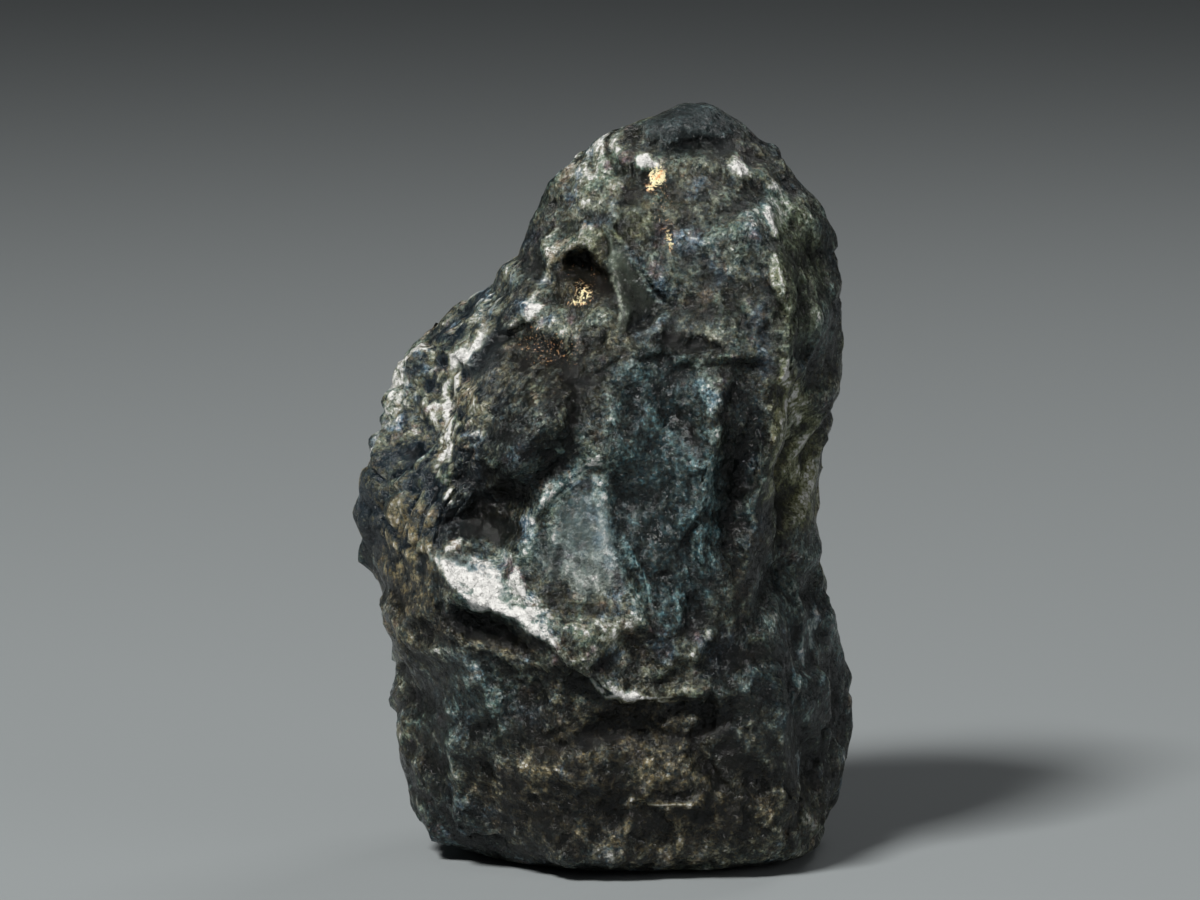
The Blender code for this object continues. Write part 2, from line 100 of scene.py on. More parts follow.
def smooth_curve(points, at):
    """A curve through (position, value) points: cubic pieces whose slopes never overshoot the points."""
    x, y = np.array(points, float).T
    step, rise = np.diff(x), np.diff(y) / np.diff(x)
    slope = np.zeros_like(y)
    same_way = rise[:-1] * rise[1:] > 0
    harmonic = 2 * rise[:-1] * rise[1:] / np.where(same_way, rise[:-1] + rise[1:], 1)
    slope[1:-1] = np.where(same_way, harmonic, 0)
    slope[0], slope[-1] = rise[0], rise[-1]
    piece = np.clip(np.searchsorted(x, at, side="right") - 1, 0, len(x) - 2)
    t = (at - x[piece]) / step[piece]
    leave, arrive = slope[piece] * step[piece], slope[piece + 1] * step[piece]
    start, change = y[piece], y[piece + 1] - y[piece]
    return start + leave * t + (3 * change - 2 * leave - arrive) * t**2 + (leave + arrive - 2 * change) * t**3


def ease(low, high, value):
    """0 below low, 1 above high, and the smooth S of 3 t squared minus 2 t cubed between them."""
    t = np.clip((value - low) / (high - low), 0, 1)
    return t * t * (3 - 2 * t)


print("half way through an ease:", ease(0, 1, 0.5))

# %% [markdown]
# ## Randomness that can be repeated
#
# Stone is irregular at every size. Texture nodes could push the mesh about, but the masks need the same
# patterns as numbers, so they are worked out here. Gradient noise swells and sinks softly. Cells around
# scattered hearts give nodules, dishes, chips and pits. Both are seeded, so the stone is the same each time.

# %% Gradient noise
NOISE_GAIN = 1.6


def tumbled(points, seed):
    """The points turned by a random rotation, so that no layer of noise lines up with the axes."""
    turn, _ = np.linalg.qr(np.random.default_rng(seed).normal(size=(3, 3)))
    return points @ turn


def number_of(cube, shuffle):
    """A number from 0 to 255 for each cube, always the same one: three look-ups in a shuffled list."""
    i, j, k = cube.T
    return shuffle[(shuffle[(shuffle[i & 255] + j) & 255] + k) & 255]


def lattice_noise(points, size, seed):
    """Gradient noise from about -1 to 1: random slopes at the corners of cubes of this size, blended."""
    rng = np.random.default_rng(seed)
    slopes, shuffle = rng.normal(size=(256, 3)), rng.permutation(256)
    slopes /= np.linalg.norm(slopes, axis=1)[:, None]
    p = tumbled(points, seed) / size
    cube = np.floor(p).astype(int)
    inside = p - cube
    fade = inside**3 * (inside * (inside * 6 - 15) + 10)
    total = np.zeros(len(p))
    for corner in np.ndindex(2, 2, 2):
        weight = np.prod(np.where(corner, fade, 1 - fade), axis=1)
        slope = slopes[number_of(cube + corner, shuffle)]
        total += weight * np.einsum("ij,ij->i", slope, inside - corner)
    return total * NOISE_GAIN


sample = np.random.default_rng(1).random((2000, 3)) * 9
swell = lattice_noise(sample, 1, 1)
print("noise runs from", swell.min().round(2), "to", swell.max().round(2))

# %% Cells
TOO_FAR = 9.0


def nearby_hearts(points, size, seed, hearts, shuffle):
    """For each of the 27 cubes around a point: its number, the way from its heart, and the distance."""
    p = tumbled(points, seed) / size
    cube = np.floor(p).astype(int)
    for step in np.ndindex(3, 3, 3):
        neighbour = cube + step - 1
        number = number_of(neighbour, shuffle)
        offset = p - neighbour - hearts[number]
        yield number, offset, np.linalg.norm(offset, axis=1)


def cell_distances(points, size, seed):
    """Distances to the nearest and second nearest of scattered hearts, one to each cube of this size."""
    rng = np.random.default_rng(seed)
    hearts, shuffle = rng.random((256, 3)), rng.permutation(256)
    nearest = second = np.full(len(points), TOO_FAR)
    for _, _, distance in nearby_hearts(points, size, seed, hearts, shuffle):
        second = np.minimum(second, np.maximum(nearest, distance))
        nearest = np.minimum(nearest, distance)
    return nearest, second


def nodules(points, size, seed):
    """Rounded nodules packed side by side: 1 at the heart of each, 0 in the creases between them."""
    nearest, second = cell_distances(points, size, seed)
    return np.sqrt(np.clip((second - nearest) * 1.4, 0, 1))


def scoops(points, size, seed):
    """Shallow dishes packed side by side, 0 at the heart of each, with sharp ridges where they meet."""
    nearest, _ = cell_distances(points, size, seed)
    return nearest**2


def chips(points, size, seed, blend=0.22):
    """Flat chips at random tilts: in each cell the height grows along one random direction from its heart.

    Near a border the heights of the two nearest cells are mixed, so that the chips join without a gap.
    """
    rng = np.random.default_rng(seed)
    hearts, tilts, shuffle = rng.random((256, 3)), rng.normal(size=(256, 3)), rng.permutation(256)
    tilts /= np.linalg.norm(tilts, axis=1)[:, None]
    nearest = second = np.full(len(points), TOO_FAR)
    height = beside = np.zeros(len(points))
    for number, offset, distance in nearby_hearts(points, size, seed, hearts, shuffle):
        here = np.einsum("ij,ij->i", tilts[number], offset)
        first, runner_up = distance < nearest, (distance >= nearest) & (distance < second)
        beside = np.where(first, height, np.where(runner_up, here, beside))
        second = np.where(first, nearest, np.where(runner_up, distance, second))
        height = np.where(first, here, height)
        nearest = np.where(first, distance, nearest)
    share = 0.5 - 0.5 * ease(0, blend, second - nearest)
    return height * (1 - share) + beside * share


def terraces(points, size, seed, scarp=0.12):
    """Flat steps, one unit high: the whole part of 1.6 times a noise, with short steep scarps between."""
    level = 1.6 * lattice_noise(points, size, seed)
    whole = np.floor(level)
    return whole + ease(0.5 - scarp, 0.5 + scarp, level - whole)


print("mean height of nodules", nodules(sample, 1, 1).mean().round(2))

# %% [markdown]
# ## The plain stone
#
# The stump has no regular section. It could be lofted through drawn sections, but four outlines say the same
# with fewer numbers: its reach to the left and right, seen from the front, and to the front and back, seen
# from the side. Each height gets a rounded rectangle that touches all four. Rings are spaced evenly along the
# surface, so the grid's cells stay about square.

# %% Outlines and sections
TOP_X, TOP_Y = 0.88, 0.7
FOOT_HALF_X, FOOT_HALF_Y = 2.2, 1.9
LEFT = [
    (0.0, -FOOT_HALF_X), (0.05, -2.8), (0.28, -3.15), (0.6, -3.6), (1.0, -3.88), (1.84, -4.12),
    (2.5, -4.22), (3.1, -4.15), (3.7, -4.27), (4.5, -4.49), (5.3, -4.79), (5.75, -4.85),
    (6.7, -4.61), (7.5, -4.36), (7.8, -4.31), (8.2, -4.08), (8.62, -3.42), (8.83, -3.29),
    (9.03, -2.92), (9.85, -2.29), (10.5, -1.9), (11.3, -1.61), (11.9, -1.15), (12.1, -1.0),
    (12.32, -0.56), (12.52, 0.0), (12.68, 0.56), (HEIGHT, TOP_X),
]
RIGHT = [
    (0.0, FOOT_HALF_X), (0.05, 2.9), (0.25, 3.2), (0.55, 3.36), (1.15, 3.54), (1.64, 3.61),
    (2.3, 3.66), (2.9, 3.6), (3.9, 3.33), (4.5, 3.17), (5.13, 3.05), (5.7, 3.02), (6.6, 3.1),
    (7.2, 3.25), (8.4, 3.42), (9.0, 3.44), (9.65, 3.39), (10.26, 3.32), (10.67, 3.17),
    (11.25, 2.66), (11.85, 2.17), (12.25, 1.78), (12.45, 1.47), (12.65, 1.12), (HEIGHT, TOP_X),
]
FRONT = [
    (0.0, -FOOT_HALF_Y), (0.12, -2.3), (0.5, -2.75), (1.5, -3.1), (2.4, -3.2), (3.4, -3.25),
    (4.4, -3.42), (5.5, -3.4), (6.8, -3.2), (8.2, -2.95), (9.5, -2.6), (10.6, -2.15),
    (11.5, -1.5), (12.1, -0.8), (12.5, -0.1), (HEIGHT, TOP_Y),
]
BACK = [
    (0.0, FOOT_HALF_Y), (0.12, 2.3), (0.6, 2.85), (1.8, 3.25), (3.2, 3.38), (4.6, 3.3),
    (5.6, 3.1), (6.6, 2.85), (7.8, 2.75), (9.0, 2.65), (10.2, 2.4), (11.2, 2.0), (12.0, 1.6),
    (12.5, 1.2), (HEIGHT, TOP_Y),
]
SQUARENESS = [(0.0, 2.2), (2.5, 2.7), (7.0, 2.9), (10.0, 2.6), (HEIGHT, 2.1)]
HEIGHTS_TRIED = 800


def heights_up_the_side(share):
    """Heights and foot radii for shares of the way from the foot's centre, out over it and up the side."""
    z = HEIGHT * (1 - np.cos(np.linspace(0, math.pi, HEIGHTS_TRIED))) / 2
    wide = smooth_curve(RIGHT, z) - smooth_curve(LEFT, z)
    thick = smooth_curve(BACK, z) - smooth_curve(FRONT, z)
    radius = (wide + thick) / 4
    along = np.concatenate([[0], np.cumsum(np.hypot(np.diff(z), np.diff(radius)))])
    foot = radius[0]
    way = share * (foot + along[-1])
    return np.interp(way - foot, along, z), np.clip(way / foot, 0, 1)


def section_points(angle, share):
    """The plain stone: half the width times cosine to a power, half the depth times sine to a power."""
    z, spread = heights_up_the_side(share)
    left, right, front, back = (smooth_curve(line, z) for line in (LEFT, RIGHT, FRONT, BACK))
    power = 2 / smooth_curve(SQUARENESS, z)
    c, s = np.cos(angle), np.sin(angle)
    x = (left + right) / 2 + spread * (right - left) / 2 * np.sign(c) * np.abs(c) ** power
    y = (front + back) / 2 + spread * (back - front) / 2 * np.sign(s) * np.abs(s) ** power
    return np.stack([x, y, z], axis=1)


def outward_directions(angle, share):
    """Normals of the plain stone: the slope around crossed with the slope upwards."""
    small = 1e-4
    share = np.clip(share, 0.01, 0.99)
    around = section_points(angle + small, share) - section_points(angle - small, share)
    upward = section_points(angle, share + small) - section_points(angle, share - small)
    normal = np.cross(around, upward)
    return normal / np.linalg.norm(normal, axis=1)[:, None]


print("half way up at the right:", section_points(np.zeros(1), np.full(1, 0.5)).round(2)[0])

# %% [markdown]
# The front gets more columns than the back, because it has the finest detail. Subdividing the front alone
# would do it too, but would break the grid into patches.

# %% The grid of angles and shares
AROUND, UPWARD = 440, 220
FRONT_ANGLE = -math.pi / 2
CROWDING = 0.35

turns = np.arange(AROUND) * 2 * math.pi / AROUND
columns = turns - CROWDING * np.sin(turns - FRONT_ANGLE)
rings = np.arange(1, UPWARD) / UPWARD
angle, share = (a.ravel() for a in np.meshgrid(columns, rings))
angle = np.concatenate([[0], angle, [0]])
share = np.concatenate([[0], share, [1]])
print(len(angle), "points, of which", AROUND, "around and", UPWARD - 1, "rings")

# %% [markdown]
# ## Faces, lumps and broken steps
#
# Chrysoberyl grows with flat faces, and this piece has been broken and worn since. So broad lumps come first,
# then flat faces are sliced off, and then steps and dishes are broken out. A Boolean cut would leave a new
# rim of odd faces at each slice. Here the points outside a face move onto it, so the grid stays whole.

# %% Slicing and breaking
FACES = [
    ((0.93, -0.36, 0.0), (2.35, -2.2, 7.5)),
    ((0.55, -0.5, 0.62), (2.3, -0.9, 11.2)),
    ((0.05, -0.94, 0.33), (0.6, -2.5, 9.3)),
    ((-0.64, -0.6, 0.46), (-1.05, -0.95, 11.2)),
    ((-0.66, -0.42, 0.6), (-3.15, -1.3, 8.7)),
    ((-0.84, -0.5, 0.1), (-3.95, -1.8, 6.0)),
    ((-0.62, -0.72, -0.28), (-3.2, -2.15, 2.0)),
    ((0.62, -0.76, -0.12), (2.75, -2.15, 2.3)),
    ((0.78, 0.62, 0.08), (2.75, 1.55, 7.0)),
    ((0.6, 0.7, 0.38), (2.0, 1.5, 10.4)),
    ((-0.12, 0.95, 0.3), (-0.2, 2.65, 9.0)),
    ((-0.72, 0.68, 0.14), (-3.35, 1.65, 6.6)),
    ((-0.6, 0.42, 0.68), (-2.75, 0.95, 9.3)),
    ((-0.66, 0.72, -0.2), (-3.1, 2.1, 2.6)),
    ((0.64, 0.74, -0.2), (2.75, 2.1, 2.4)),
]
EDGE_ROUND = 0.07
LUMPS = [(3.2, 0.22, 11), (1.6, 0.1, 12)]
STEPS = [(2.4, 0.17, 31), (1.3, 0.05, 32)]
DISHES = [(1.9, 0.42, 41), (0.95, 0.13, 42)]
CHIPS = [(1.7, 0.11, 43), (0.8, 0.11, 44)]
SHOULDER_NODULES = (0.62, 0.2, 14)


def above_foot(points):
    """0 on the flat foot and 1 a little above it, so that the stone still stands."""
    return ease(0.0, 0.5, points[:, 2])


def below_top(points):
    """1 on the body and 0.3 on the knob, which is worn smooth."""
    return 1 - 0.7 * ease(11.8, 12.4, points[:, 2])


def on_shoulder(points):
    """1 on the knobbly shoulder that slopes up to the left, 0 elsewhere: four eases multiplied."""
    x, y, z = points.T
    slope = ease(-1.7, -2.9, x + 0.22 * (9.5 - z))
    return slope * ease(4.2, 6.0, z) * ease(11.5, 10.0, z) * ease(1.6, 0.4, y)


def add_lumps(points, normals):
    """Broad lumps: gradient noise along the normal."""
    height = sum(high * lattice_noise(points, size, seed) for size, high, seed in LUMPS)
    return points + normals * (height * above_foot(points))[:, None]


def slice_faces(points):
    """Moves what lies outside each face straight back onto it, with the edges slightly rounded."""
    free = above_foot(points)
    for direction, through in FACES:
        n = np.array(direction) / np.linalg.norm(direction)
        proud = (points - np.array(through)) @ n / EDGE_ROUND
        cut = EDGE_ROUND * np.where(proud > 20, proud, np.log1p(np.exp(np.minimum(proud, 20))))
        points = points - np.outer(cut * free, n)
    return points


def warped(points, size=1.2, far=0.25, seed=51):
    """The points pushed about by three noises, so that cells and steps have crooked edges."""
    return points + far * np.stack([lattice_noise(points, size, seed + n) for n in range(3)], axis=1)


def broken(points, steps, dishes, tilted, scarp=0.12, share=1.0):
    """Terraces and dishes times a share, plus tilted chips, each of several sizes, in millimetres."""
    height = sum(high * terraces(points, size, seed, scarp) for size, high, seed in steps)
    height += sum(high * (scoops(points, size, seed) - 0.3) for size, high, seed in dishes)
    return height * share + sum(size * slope * chips(points, size, seed) for size, slope, seed in tilted)


def break_surface(points, normals):
    """Broken relief, less of it on the front, and the shoulder's nodules, along the normal."""
    crooked = warped(points)
    elsewhere = 1 - 0.55 * ease(0.3, 0.8, -normals[:, 1])
    height = broken(crooked, STEPS, DISHES, CHIPS, share=elsewhere)
    shoulder = on_shoulder(points)
    size, high, seed = SHOULDER_NODULES
    height = height * (1 - 0.6 * shoulder) + shoulder * high * (nodules(crooked, size, seed) - 0.6)
    return points + normals * (height * above_foot(points) * below_top(points))[:, None]


print(len(FACES), "faces to slice")

# %% [markdown]
# ## Carving strokes
#
# The forms that make this stone itself are placed one by one, as a carver would: a flat cleavage face, an
# oval hollow or dome, a ledge with one steep side, a groove along a line. Cutters could take them out of the
# mesh. But a stroke that is a small function of how far a point lies across and up, seen from one side,
# blends into the next by itself. The places waver a little, so nothing is a true oval.

# %% Places seen from one side
def viewer_axes(turn):
    """Unit vectors for someone who looks at the stone from this turn: towards them, and to their right."""
    a = math.radians(turn)
    return np.array([math.sin(a), -math.cos(a), 0]), np.array([math.cos(a), math.sin(a), 0])


def inside_outline(corners, place):
    """How far each place is inside a convex outline with anticlockwise corners: the least way to a side."""
    corners = np.array(corners, float)
    across, up = place["across"], place["up"]
    depth = np.full(len(across), np.inf)
    for (ax, az), (bx, bz) in zip(corners, np.roll(corners, -1, axis=0)):
        length = math.hypot(bx - ax, bz - az)
        depth = np.minimum(depth, ((bx - ax) * (up - az) - (bz - az) * (across - ax)) / length)
    return depth


def from_line(points, place):
    """Signed distance to a line of points, positive on its left, and the share of the way along it."""
    points = np.array(points, float)
    across, up = place["across"], place["up"]
    lengths = np.hypot(*np.diff(points, axis=0).T)
    starts = np.concatenate([[0], np.cumsum(lengths)])
    best, way = np.full(len(across), np.inf), np.zeros(len(across))
    for (ax, az), (bx, bz), length, start in zip(points[:-1], points[1:], lengths, starts):
        dx, dz = (bx - ax) / length, (bz - az) / length
        t = np.clip((across - ax) * dx + (up - az) * dz, 0, length)
        gap_x, gap_z = across - ax - t * dx, up - az - t * dz
        distance = np.hypot(gap_x, gap_z)
        side = np.where(dx * gap_z - dz * gap_x >= 0, 1.0, -1.0)
        nearer = distance < np.abs(best)
        best = np.where(nearer, side * distance, best)
        way = np.where(nearer, (start + t) / starts[-1], way)
    return best, way


print("looking from the right, towards the viewer is", viewer_axes(90)[0].round(2))

# %% The strokes
def flat_face(place, corners, border=0.2):
    """A flat cleavage face: inside the corners the surface lies on the plane of the first three."""
    corners = np.array(corners, float)
    plane = np.linalg.solve(np.c_[corners[:3, :2], np.ones(3)], corners[:3, 2])
    target = plane[0] * place["across"] + plane[1] * place["up"] + plane[2]
    inside = inside_outline(corners[:, :2], place)
    return (target - place["depth"]) * ease(-border, border, inside)


def oval(place, centre, half_size, turn=0):
    """1 at the middle of an oval, less the square of the way out to its rim, so 0 there and below outside."""
    a = math.radians(turn)
    dx, dz = place["across"] - centre[0], place["up"] - centre[1]
    u, v = dx * math.cos(a) + dz * math.sin(a), dz * math.cos(a) - dx * math.sin(a)
    return 1 - (u / half_size[0]) ** 2 - (v / half_size[1]) ** 2


def hollow(place, centre, half_size, deep, turn=0, edge=2):
    """An oval hollow, or with a negative depth an oval lump. A low edge number gives steep sides."""
    return -deep * np.clip(oval(place, centre, half_size, turn), 0, 1) ** edge


def ledge(place, line, high, gentle, steep):
    """A crest along the line that falls away gently on its left and steeply on its right."""
    distance, way = from_line(line, place)
    left = np.clip(1 - distance / gentle, 0, 1) ** 2
    right = np.clip(1 + distance / steep, 0, 1)
    ends = ease(0, 0.12, way) * ease(0, 0.12, 1 - way)
    return high * np.where(distance >= 0, left, right) * ends


def groove(place, line, wide, deep):
    """A narrow cut along the line, wide from edge to edge and deep in its middle."""
    distance, _ = from_line(line, place)
    return -deep * np.clip(1 - (2 * distance / wide) ** 2, 0, 1) ** 2


middle = {"across": np.zeros(1), "up": np.zeros(1)}
print("a hollow 0.5 deep changes its middle by", hollow(middle, (0, 0), (1, 1), 0.5))

# %% Where the strokes go on the front
LIP = [
    (-3.6, 5.5), (-3.14, 5.1), (-2.65, 4.85), (-2.0, 4.6), (-1.5, 4.22), (-1.2, 3.8),
    (-0.84, 3.45), (-0.43, 3.22), (0.14, 3.08), (0.8, 3.25), (1.2, 3.7),
]
FRONT_STROKES = [
    # The upper face: a step across it, the chipped triangle, the deep notch, small cavities
    (ledge, [(-0.5, 8.75), (0.2, 8.95), (0.9, 8.72), (1.9, 8.8)], 0.16, 0.9, 0.14),
    (flat_face, [(-0.6, 10.85, 2.0), (-0.43, 9.15, 2.44), (0.4, 9.55, 2.12)], 0.05),
    (ledge, [(-1.75, 10.0), (-1.3, 10.4), (-0.63, 10.75), (-0.3, 11.2)], 0.12, 0.6, 0.12),
    (hollow, (-1.02, 10.12), (0.42, 0.34), 0.5, -14, 1.5),
    (hollow, (-0.82, 9.98), (0.26, 0.26), 0.25, 0, 1.4),
    (flat_face, [(-1.2, 9.25, 2.28), (-1.1, 8.75, 2.42), (-0.75, 8.8, 2.6), (-0.8, 9.2, 0)], 0.06),
    (groove, [(0.3, 9.08), (0.55, 8.9), (0.78, 8.98), (1.05, 8.84)], 0.34, 0.14),
    (hollow, (-0.56, 11.85), (0.12, 0.2), 0.14, -15, 1.2),
    # The knob on the top with the creases around it
    (groove, [(-0.2, 12.6), (-0.13, 12.3), (-0.2, 12.0), (-0.12, 11.75)], 0.22, 0.2),
    (hollow, (0.85, 12.55), (0.85, 0.5), -0.2, 0, 1.4),
    (groove, [(0.08, 12.4), (0.3, 12.12), (0.8, 12.0), (1.35, 12.08), (1.75, 12.4)], 0.32, 0.12),
    (ledge, [(1.5, 12.0), (1.7, 11.6), (1.6, 11.2)], 0.12, 0.3, 0.2),
    # The teal trough, the crest on its right and the dark glassy groove along the right edge
    (hollow, (0.35, 6.7), (0.95, 2.3), 0.32, 3, 1.2),
    (ledge, [(1.25, 5.0), (1.1, 6.2), (1.2, 7.4), (1.1, 8.6)], 0.13, 0.35, 0.2),
    (hollow, (1.68, 6.8), (0.46, 2.0), 0.26, 3, 1.2),
    (ledge, [(2.1, 5.2), (2.2, 6.6), (2.1, 7.9), (2.3, 9.0), (2.12, 10.0), (2.35, 11.2)], 0.16, 0.4, 0.3),
    # The barrel: proud above, black recess below, with the slot above it and the ridge on its left
    (hollow, (-2.15, 7.9), (1.05, 1.05), -0.6, 8, 0.8),
    (hollow, (-2.45, 6.0), (1.0, 1.15), 1.05, 20, 1.4),
    (hollow, (-1.9, 6.6), (0.6, 0.5), 0.3, 0, 1.5),
    (groove, [(-2.95, 8.25), (-2.73, 8.6), (-2.35, 8.9), (-2.0, 9.15)], 0.4, 0.3),
    (ledge, [(-2.9, 8.9), (-3.14, 8.2), (-3.2, 7.6), (-3.1, 6.8), (-2.95, 6.0)], 0.18, 0.5, 0.5),
    # The face in the middle and the bright ledge on its left
    (flat_face, [(-0.98, 7.1, 2.95), (-2.05, 5.55, 3.17), (-1.6, 4.6, 3.41), (0.1, 4.4, 0), (-0.3, 5.9, 0)],
     0.13),
    (flat_face, [(-3.45, 5.65, 2.62), (-3.1, 5.05, 2.98), (-1.4, 4.15, 3.68), (-2.15, 5.3, 0)], 0.12),
    # The lip, the undercut at its left end, the dark band below and the ridges at its right end
    (ledge, LIP, 0.24, 0.6, 0.12),
    (ledge, [(-0.3, 3.55), (0.1, 3.58), (0.35, 3.85), (0.8, 3.82), (1.0, 4.15), (1.35, 4.35)],
     0.15, 0.4, 0.16),
    (hollow, (-2.5, 4.35), (1.0, 0.42), 0.5, -27, 1.1),
    (hollow, (-0.1, 2.75), (1.9, 0.45), 0.24, 6, 1.2),
    # The lower body: two domes, a crease between them, and a small chipped ridge
    (hollow, (-3.0, 2.9), (1.05, 1.3), -0.3),
    (hollow, (2.2, 2.65), (1.3, 1.1), -0.3, -8),
    (groove, [(0.95, 3.1), (0.85, 2.5), (1.1, 1.7)], 0.4, 0.16),
    (hollow, (2.6, 4.9), (0.6, 0.7), 0.25, 0, 1.3),
    (ledge, [(-0.2, 1.5), (0.3, 1.3), (0.9, 1.3)], 0.14, 0.3, 0.12),
]
print(len(FRONT_STROKES), "strokes on the front")

# %% Where they go on the other sides
RIGHT_STROKES = [
    (hollow, (-1.35, 7.2), (0.85, 1.6), 0.4, 6, 1.3),
    (hollow, (-1.2, 4.9), (0.9, 0.6), 0.3, -15),
    (hollow, (1.1, 5.9), (0.9, 1.4), 0.3, -12, 1.7),
]
BACK_STROKES = [
    (ledge, [(-3.2, 4.6), (-1.8, 4.2), (-0.4, 4.9), (1.0, 4.5), (2.4, 5.2)], 0.26, 1.2, 0.3),
    (hollow, (1.2, 9.0), (1.1, 0.8), 0.45, -30, 1.5),
    (hollow, (-1.2, 6.4), (0.8, 1.5), 0.4, 12, 1.5),
]
LEFT_STROKES = [
    (hollow, (0.9, 7.6), (0.8, 1.2), 0.35, 20, 1.5),
    (hollow, (-0.6, 4.3), (1.6, 0.5), 0.25, 12, 1.5),
]
FROM_FRONT, FROM_RIGHT, FROM_BACK, FROM_LEFT = 0, 90, 180, 270
SIDES = [
    (FROM_FRONT, FRONT_STROKES),
    (FROM_RIGHT, RIGHT_STROKES),
    (FROM_BACK, BACK_STROKES),
    (FROM_LEFT, LEFT_STROKES),
]
WAVER = [(1.1, 0.14, 21), (0.45, 0.06, 23)]


def wavering(place, points, layers):
    """Places moved across and up by a noise of each size."""
    for size, far, seed in layers:
        place["across"] += far * lattice_noise(points, size, seed)
        place["up"] += far * lattice_noise(points, size, seed + 1)
    return place


def places_seen(points, turn):
    """Where each point lies across, up and towards someone at this turn, wavering by a little noise."""
    viewer, right = viewer_axes(turn)
    place = {"across": points @ right, "up": points[:, 2].copy(), "depth": points @ viewer}
    return wavering(place, points, WAVER)


def carve_side(points, normals, turn, strokes):
    """Makes the strokes from one side, fading where the surface turns away from it."""
    viewer, _ = viewer_axes(turn)
    facing = ease(0.12, 0.5, normals @ viewer) * ease(0.05, 0.5, points[:, 2])
    place = places_seen(points, turn)
    for stroke, *sizes in strokes:
        place["depth"] = place["depth"] + stroke(place, *sizes) * facing
    return points + np.outer(place["depth"] - points @ viewer, viewer)


print(sum(len(strokes) for _, strokes in SIDES), "strokes in all")

# %% [markdown]
# ## Back to the outlines
#
# Slicing and carving narrow the stone here and there. The outlines could be drawn wider to allow for it, but
# that takes many tries. Instead each ring is stretched sideways until it fills the left and right outlines
# again, with the stretch smoothed from ring to ring.

# %% Matching the outlines
def match_outlines(points, share):
    """Moves each point of a ring by a blend of the gaps at its left and right ends."""
    shares, ring = np.unique(np.round(share, 6), return_inverse=True)
    x, z = points[:, 0], points[:, 2]
    low, high = np.full(len(shares), 99.0), np.full(len(shares), -99.0)
    np.minimum.at(low, ring, x)
    np.maximum.at(high, ring, x)
    height = np.bincount(ring, z) / np.bincount(ring)
    reach = max(1, len(shares) // 40)
    window = np.ones(2 * reach + 1) / (2 * reach + 1)
    gaps = []
    for wanted, found in ((smooth_curve(LEFT, height), low), (smooth_curve(RIGHT, height), high)):
        padded = np.pad(wanted - found, reach, mode="edge")
        gaps.append(np.convolve(padded, window, mode="valid"))
    across = (x - low[ring]) / np.maximum((high - low)[ring], 0.01)
    settled = ease(0.0, 0.5, z) * ease(HEIGHT, HEIGHT - 0.6, z)
    x_new = x + settled * ((1 - across) * gaps[0][ring] + across * gaps[1][ring])
    return np.stack([x_new, points[:, 1], z], axis=1)


def stone_points(angle, share):
    """Every step of the stone's surface, for points given by their angle and share of the way up."""
    plain = section_points(angle, share)
    normals = outward_directions(angle, share)
    points = slice_faces(add_lumps(plain, normals))
    points = break_surface(points, normals)
    for turn, strokes in SIDES:
        points = carve_side(points, normals, turn, strokes)
    points = match_outlines(points, share)
    points[:, 2] = np.clip(points[:, 2], 0, None)
    return points


broad = stone_points(angle, share)
print("broad shape, in mm:", broad.min(axis=0).round(2), broad.max(axis=0).round(2))

# %% [markdown]
# ## Looking along the grid
#
# Blender could give normals once there is a mesh, but the fine relief and the masks need them first. Because
# the points lie on a grid, a normal is a cross product of neighbours' differences, and an average over the
# neighbourhood is a few shifts. The height over that average tells crests from hollows, for the finish.

# %% Normals and averages on the grid
def as_grid(values):
    """The rings alone, as rows, without the two poles."""
    return values[1:-1].reshape(UPWARD - 1, AROUND, -1)


def from_grid(grid, foot, top):
    """A flat list of values again, with the poles put back."""
    return np.concatenate([[foot], grid.reshape((UPWARD - 1) * AROUND, -1), [top]])


def grid_normals(points):
    """Differences around the ring crossed with differences between rings, at unit length."""
    foot, top = (np.broadcast_to(pole, (1, AROUND, 3)) for pole in (points[0], points[-1]))
    rows = np.concatenate([foot, as_grid(points), top])
    around = np.roll(rows, -1, axis=1) - np.roll(rows, 1, axis=1)
    normal = np.cross(around[1:-1], (rows[2:] - rows[:-2]))
    normal /= np.maximum(np.linalg.norm(normal, axis=2), 1e-12)[:, :, None]
    return from_grid(normal, (0, 0, -1), (0, 0, 1))


def neighbourhood_mean(values, passes):
    """Each pass weighs a point and its neighbours by 1, 2, 1, around and then upwards."""
    grid = as_grid(values)
    for _ in range(passes):
        grid = (np.roll(grid, 1, axis=1) + 2 * grid + np.roll(grid, -1, axis=1)) / 4
        rows = np.concatenate([grid[:1], grid, grid[-1:]])
        grid = (rows[:-2] + 2 * rows[1:-1] + rows[2:]) / 4
    return from_grid(grid, values[0], values[-1])


broad_normals = grid_normals(broad)
print("share of points that face the front:", (broad_normals[:, 1] < -0.5).mean().round(2))

# %% [markdown]
# ## Zones of the skin
#
# The stone isn't one finish: frosted grey, white mica, glassy black, blue-green and brown earth lie side by
# side, with painted highlights and painted shade over them. The zones could be painted by hand. Here each is
# a mask from 0 to 1, made of soft ovals, soft lines and soft-edged areas on the front, so that each mark can
# be named and moved.

# %% Kinds of mark
def spot(place, centre, half_size, strength=1.0, turn=0):
    """A soft oval: 1 over its inner half, 0 at its rim."""
    return strength * ease(0, 0.75, oval(place, centre, half_size, turn))


def streak(place, line, wide, strength=1.0):
    """A soft line, wide from edge to edge, that tapers at its ends."""
    distance, way = from_line(line, place)
    return strength * ease(wide / 2, wide / 6, np.abs(distance)) * ease(0, 0.1, way) * ease(0, 0.1, 1 - way)


def patch(place, corners, border, strength=1.0):
    """A soft-edged area inside a convex outline."""
    return strength * ease(-border, border, inside_outline(corners, place))


def marks(kind, rows):
    """Each row of numbers with its kind of mark in front."""
    return [(kind, *row) for row in rows]


